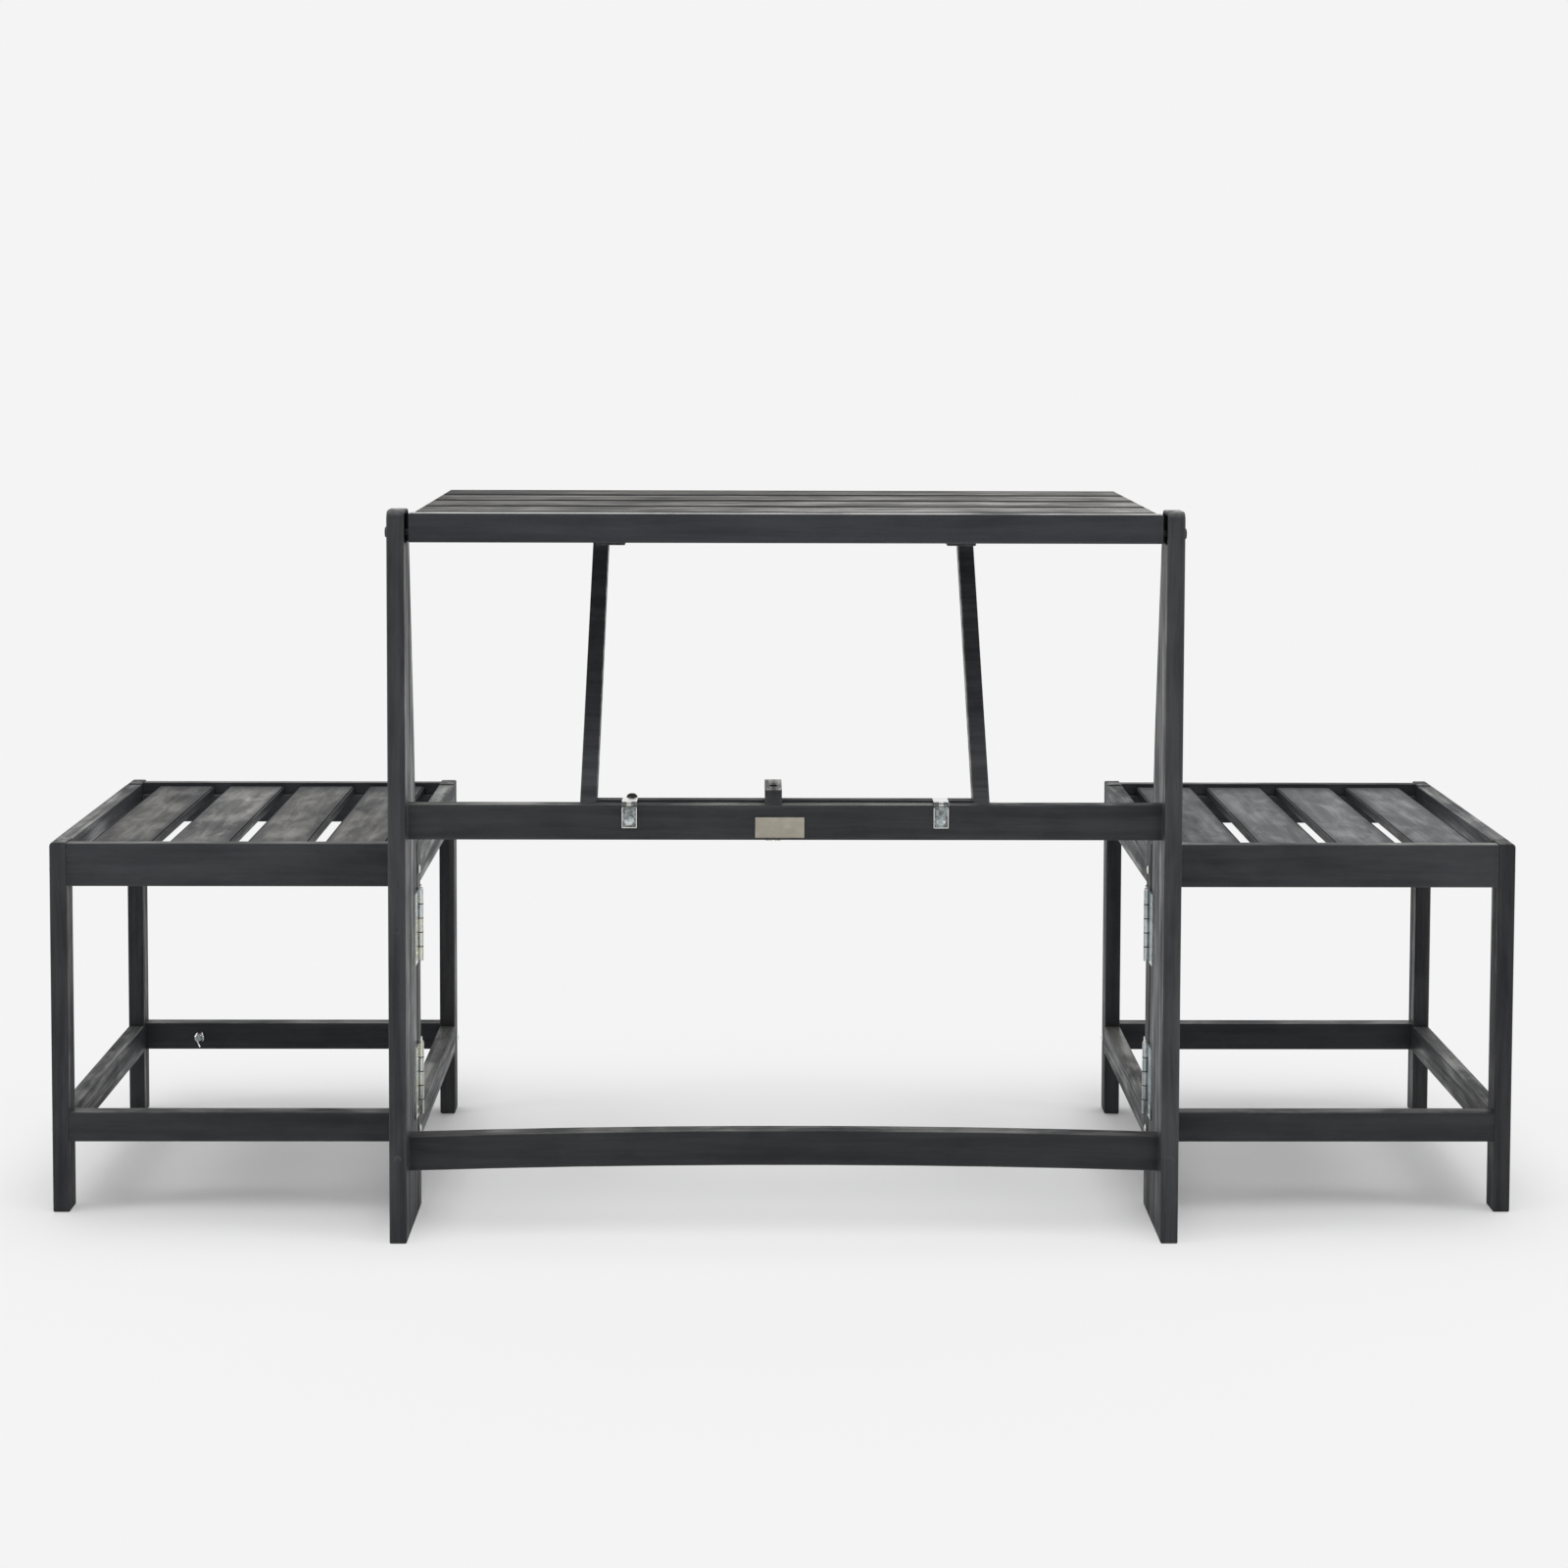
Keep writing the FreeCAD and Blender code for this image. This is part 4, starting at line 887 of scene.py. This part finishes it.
def drive_rail_bolts(looks, material):
    socket = hexagon_outline(looks.socket)
    grids = [headed((side * PLANK_OUT, y, z), (side, 0, 0), socket, looks.bolt_dome, **RAIL_BOLT)
             for side in (-1, 1) for y, z in RAIL_BOLT_SPOTS]
    shell("rail_bolts_socketed", grids, "frame", material, ["rail_bolts"])


class BENCH_OT_drive_screws(bpy.types.Operator):
    """Drive the crossed screws and the socket bolts"""
    bl_idname = "bench.drive_screws"
    bl_label = "Drive the screws"

    def execute(self, context):
        looks = context.scene.bench_looks.fasteners
        metal = context.scene.bench_looks.fittings
        zinc = plated("screw_zinc", metal.zinc, metal.cream, 0.24)
        dull = plated("latch_screw_zinc", metal.bluish, metal.zinc, 0.3)
        black = capped("bolt_black", metal.cap)
        drive_latch_screws(looks, dull)
        drive_hinge_screws("hinge_screws", "frame", (-1, 1), looks, zinc)
        drive_hinge_screws("seat_left_hinge_screws", "seat_left", (-1,), looks, zinc)
        drive_hinge_screws("seat_right_hinge_screws", "seat_right", (1,), looks, zinc)
        drive_seat_bolts("left", -1, looks, zinc)
        drive_seat_bolts("right", 1, looks, zinc)
        drive_rail_bolts(looks, black)
        return {"FINISHED"}


# Plate, plugs, latch rims and nut

class BENCH_OT_fit_plate(bpy.types.Operator):
    """Fit the bare plate to the middle rail"""
    bl_idname = "bench.fit_plate"
    bl_label = "Fit the bare plate"

    def execute(self, context):
        looks = context.scene.bench_looks.plate
        # A plate whose back lies this little inside the rail leaves no gap
        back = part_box("mid_rail")[0].y + 0.00002
        thick = looks.thickness
        ring = rounded_outline(looks.width, looks.height, radius=0.0007, count=64)
        half = np.array([looks.width / 2, looks.height / 2])
        # Each step is an inset from the outline and a height off the rail
        steps = [(0.0, 0.0), (0.0, thick * 0.75), (0.00012, thick * 0.95), (0.00035, thick),
                 (0.0007, thick), (0.0009, thick * 0.82), (0.0011, thick * 0.8),
                 (0.0104, thick * 0.8)]
        rows = []
        for inset, rise in steps:
            flat = ring * (half - inset) / half
            rows.append(np.stack([flat[:, 0] + looks.middle[0],
                                  np.full(len(flat), back - rise),
                                  flat[:, 1] + looks.middle[2]], -1))
        rear_pole = np.tile((looks.middle[0], back, looks.middle[2]), (len(ring), 1))
        front_pole = rear_pole - (0, thick * 0.8, 0)
        shell("bare_plate", [np.stack([rear_pole] + rows + [front_pole])], "frame",
              champagne("champagne_plate", looks.metal))
        return {"FINISHED"}


class BENCH_OT_plug_planks(bpy.types.Operator):
    """Set the wood plugs into the fronts of the planks"""
    bl_idname = "bench.plug_planks"
    bl_label = "Plug the planks"

    def execute(self, context):
        radius = context.scene.bench_looks.fasteners.plug
        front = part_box("plank_left")[0].y
        rings = [(0, -0.002), (radius, -0.002), (radius, 0.00002), (radius - 0.0002, 0.00012),
                 (radius - 0.0006, 0.00012), (radius * 0.5, 0.00014), (0, 0.00014)]
        grids = [turned((x, front, z), FORWARD, rings) for x, z in PLUG_SPOTS]
        shell("plank_plugs", grids, "frame",
              stained_board("plug_stain", "y", 91.0, tone=1.2, wear=0.4))
        return {"FINISHED"}


class BENCH_OT_press_latches(bpy.types.Operator):
    """Press the raised rims of the latch plates"""
    bl_idname = "bench.press_latches"
    bl_label = "Press the latches"

    def execute(self, context):
        looks = context.scene.bench_looks.fittings
        # Half the rim's width and height, the radius of its corners and its two ends
        rim_width = 0.00045
        rim_height = 0.0004
        corner = 0.001
        top = 0.4515
        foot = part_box("latch_bases")[0].z + 0.0005
        half = LATCH_HALF_WIDTH - rim_width
        # Down the right side, round its corner to the middle of the foot, and back mirrored
        down = [(half, z) for z in (top, top - 0.0006, 0.444, 0.437, foot + corner)]
        t = np.linspace(0, 1, 7)[1:-1] * math.pi / 2
        bend = np.stack([half - corner + corner * np.cos(t),
                         foot + corner - corner * np.sin(t)], -1)
        line = np.concatenate([down, bend, [(half - corner, foot), (0.0, foot)]])
        line = np.concatenate([line, line[-2::-1] * (-1, 1)])
        way = np.gradient(line, axis=0)
        way /= np.linalg.norm(way, axis=1)[:, None]
        side = np.stack([way[:, 1], np.zeros(len(way)), -way[:, 0]], -1)
        grids = []
        for x in (-LATCH_OUT, LATCH_OUT):
            path = np.stack([line[:, 0] + x, np.full(len(line), LATCH_FACE - 0.0001),
                             line[:, 1]], -1)
            grids.append(carried(path, side, (0, 1, 0), rim_width, rim_height))
        shell("latch_rims", grids, "frame",
              plated("rim_zinc", looks.white, WARM_RIM, 0.25, (1, 1, 0.1)))
        return {"FINISHED"}


def nut_wing(x, back, z, start, end):
    """A wing curled round the bolt at x, z. While s goes from 0 to 1, its angle t goes from
    start to end, in degrees, along x + reach * cos t and z + reach * sin t. The reach grows
    near both ends, and the wing is thickest and furthest out in its middle, by sin(pi * s)."""
    count = 15
    angle = np.radians(np.linspace(start, end, count))
    s = np.linspace(0, 1, count)
    bulge = np.sin(s * math.pi)
    reach = 0.0048 + 0.0016 * np.clip(np.abs(s * 2 - 1) - 0.35, 0, 1)
    path = np.stack([x + reach * np.cos(angle), back - 0.0046 - 0.001 * bulge,
                     z + reach * np.sin(angle)], -1)
    out = np.stack([np.cos(angle), np.zeros(count), np.sin(angle)], -1)
    return carried(path, out, (0, 1, 0), 0.0005 + 0.0007 * bulge, 0.0014 + 0.0018 * bulge)


def nut_tail(x, back, z):
    """The thin tail that hangs from the left wing across the bolt: a straight line, along
    which s goes from 0 to 1."""
    s = np.linspace(0, 1, 9)
    path = np.stack([x - 0.0046 + 0.0056 * s, back - 0.0072 - 0.0006 * s,
                     z + 0.001 - 0.0126 * s], -1)
    return carried(path, np.tile((0.9, 0, 0.43), (len(s), 1)), (0, 1, 0), 0.0008, 0.0006)


class BENCH_OT_fit_wing_nut(bpy.types.Operator):
    """Fit the nut with its two curled wings and its tail"""
    bl_idname = "bench.fit_wing_nut"
    bl_label = "Fit the wing nut"

    def execute(self, context):
        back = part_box("wing_nut")[1].y
        low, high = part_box("lock_bolt")
        x = (low.x + high.x) / 2
        z = (low.z + high.z) / 2
        # The hub's rings are closed round the bolt
        rings = [(0.00305, 0), (0.0046, 0), (0.0046, 0.001), (0.0042, 0.0018), (0.004, 0.0062),
                 (0.0037, 0.0074), (0.0033, 0.0076), (0.00305, 0.007), (0.00305, 0)]
        hub = turned((x, back, z), FORWARD, rings)
        # Where each wing starts and ends, in degrees from the right
        wings = [nut_wing(x, back, z, start, end) for start, end in ((112, 236), (-58, 66))]
        nut = context.scene.bench_looks.fittings.nut
        # The core paints shade over the nut's hollow middle, round the bolt
        zinc = plated("nut_zinc", nut, WARM_NUT, 0.25, core=(x + 0.0004, z, 0.0029))
        shell("wing_nut_curled", [hub, *wings, nut_tail(x, back, z)], "locking_nut", zinc,
              ["wing_nut"])
        return {"FINISHED"}


# Studio

# The floor reaches this far to each side, and lies this far below the feet
FLOOR_HALF = 60
FLOOR_DROP = 0.0003


def floor_paint(looks):
    """Matt paper. A backdrop glow, seen by the camera alone, lifts the bench's shadow a little
    below the seats, more below the table and most further out."""
    finish = new_finish("floor_paint")
    x, y = finish.parts(finish.coordinates())[:2]
    away = abs(x)
    # Areas below the bench, with soft edges: first from the front to the back
    below = y.step(-0.36, -0.03) * y.fall(0.2, 0.5)
    seats = away.step(0.33, 0.43) * away.fall(0.7, 0.92) * below
    table = away.fall(0.33, 0.46) * below
    lift = (looks.clean_front - seats * (looks.clean_front - looks.clean_seats)
            - table * (looks.clean_front - looks.clean_middle))
    seen = Wire(finish, finish.add("ShaderNodeLightPath").outputs["Is Camera Ray"])
    paper = finish.add("ShaderNodeBsdfDiffuse", None, {"Color": looks.backdrop})
    glow = finish.add("ShaderNodeEmission", None, {"Color": looks.backdrop})
    both = finish.add("ShaderNodeMixShader", None, {0: (lift * seen).clip(), 1: paper.outputs[0],
                                                    2: glow.outputs[0]})
    finish.add("ShaderNodeOutputMaterial", None, {"Surface": both.outputs[0]})
    return finish.owner


def lay_floor(scene, looks):
    mesh = bpy.data.meshes.new("studio_floor")
    mesh.from_pydata([(x * FLOOR_HALF, y * FLOOR_HALF, -FLOOR_DROP)
                      for x, y in ((-1, -1), (1, -1), (1, 1), (-1, 1))], [], [(0, 1, 2, 3)])
    floor = bpy.data.objects.new("studio_floor", mesh)
    scene.collection.objects.link(floor)
    paint(floor, floor_paint(looks))


def light_room(scene, looks):
    """A room that is the backdrop to the camera and through glass, a wall that brightens to
    the back to shiny metal, and the rest of the light to everything else."""
    scene.world = bpy.data.worlds.new("studio")
    room = Finish(scene.world)
    ray = room.add("ShaderNodeLightPath").outputs
    seen, shiny, clear = (Wire(room, ray["Is %s Ray" % kind])
                          for kind in ("Camera", "Glossy", "Transmission"))
    back = room.parts(room.coordinates("Generated"))[1]
    wall = back.step(-0.5, 0.6, start=0.42, end=0.9)
    shade = looks.backdrop[0]
    glow = (1.0 - seen) * (1.0 - shiny) * (1.0 - looks.overhead - 2 * looks.side)
    glow = glow + seen * shade + (1.0 - seen) * shiny * wall
    glow = glow.math("MAXIMUM", glow, clear * shade)
    light = room.add("ShaderNodeBackground", None, {"Color": (1, 1, 1), "Strength": glow})
    room.add("ShaderNodeOutputWorld", None, {"Surface": light.outputs[0]})


def hang_lamp(scene, name, lean, tip, share, spread):
    """A far lamp that leans to a side and tips to the front, in degrees. Its strength is its
    share of the light that the floor gets."""
    lamp = bpy.data.lights.new(name, "SUN")
    lamp.energy = math.pi * share / math.cos(math.radians(lean))
    lamp.angle = spread
    thing = bpy.data.objects.new(name, lamp)
    thing.matrix_world = (Matrix.Rotation(math.radians(lean), 4, "Y")
                          @ Matrix.Rotation(math.radians(tip), 4, "X"))
    scene.collection.objects.link(thing)


def aim_camera(scene, looks):
    lens = bpy.data.cameras.new("camera")
    lens.sensor_width = 36.0
    lens.lens = looks.lens
    lens.shift_x = looks.shift_x
    lens.shift_y = looks.shift_y
    lens.clip_end = 100.0
    camera = bpy.data.objects.new("camera", lens)
    scene.collection.objects.link(camera)
    camera.matrix_world = (Matrix.Translation(looks.camera)
                           @ Matrix.Rotation(-looks.yaw, 4, "Z")
                           @ Matrix.Rotation(math.pi / 2 - looks.pitch, 4, "X")
                           @ Matrix.Rotation(looks.roll, 4, "Z"))
    scene.camera = camera


class BENCH_OT_set_stage(bpy.types.Operator):
    """Set up the floor, the light and the camera"""
    bl_idname = "bench.set_stage"
    bl_label = "Set the stage"

    def execute(self, context):
        scene = context.scene
        looks = scene.bench_looks.stage
        scene.view_settings.view_transform = "Standard"
        lay_floor(scene, looks)
        light_room(scene, looks)
        hang_lamp(scene, "overhead", lean=1.0, tip=-2.0, share=looks.overhead,
                  spread=looks.spread)
        for name, lean in (("side_left", 68.0), ("side_right", -68.0)):
            hang_lamp(scene, name, lean, tip=14.0, share=looks.side, spread=math.radians(16))
        aim_camera(scene, looks)
        return {"FINISHED"}


class BENCH_PT_looks(bpy.types.Panel):
    """Steps that dress the bench"""
    bl_label = "Bench"
    bl_idname = "BENCH_PT_looks"
    bl_space_type = "VIEW_3D"
    bl_region_type = "UI"
    bl_category = "Bench"

    def draw(self, context):
        for step in STEPS:
            self.layout.operator(step.bl_idname)


STEPS = (BENCH_OT_stain_boards, BENCH_OT_plate_fittings, BENCH_OT_drive_screws,
         BENCH_OT_fit_plate, BENCH_OT_plug_planks, BENCH_OT_press_latches,
         BENCH_OT_fit_wing_nut, BENCH_OT_set_stage)
GROUPS = (BoardLooks, FittingLooks, PlateLooks, FastenerLooks, StageLooks, BenchLooks)


def register():
    for item in (*GROUPS, *STEPS, BENCH_PT_looks):
        bpy.utils.register_class(item)
    bpy.types.Scene.bench_looks = bpy.props.PointerProperty(type=BenchLooks)


def unregister():
    del bpy.types.Scene.bench_looks
    for item in reversed((*GROUPS, *STEPS, BENCH_PT_looks)):
        bpy.utils.unregister_class(item)


def main():
    register()
    bpy.ops.bench.stain_boards()
    bpy.ops.bench.plate_fittings()
    bpy.ops.bench.drive_screws()
    bpy.ops.bench.fit_plate()
    bpy.ops.bench.plug_planks()
    bpy.ops.bench.press_latches()
    bpy.ops.bench.fit_wing_nut()
    bpy.ops.bench.set_stage()


if __name__ == "__main__":
    main()
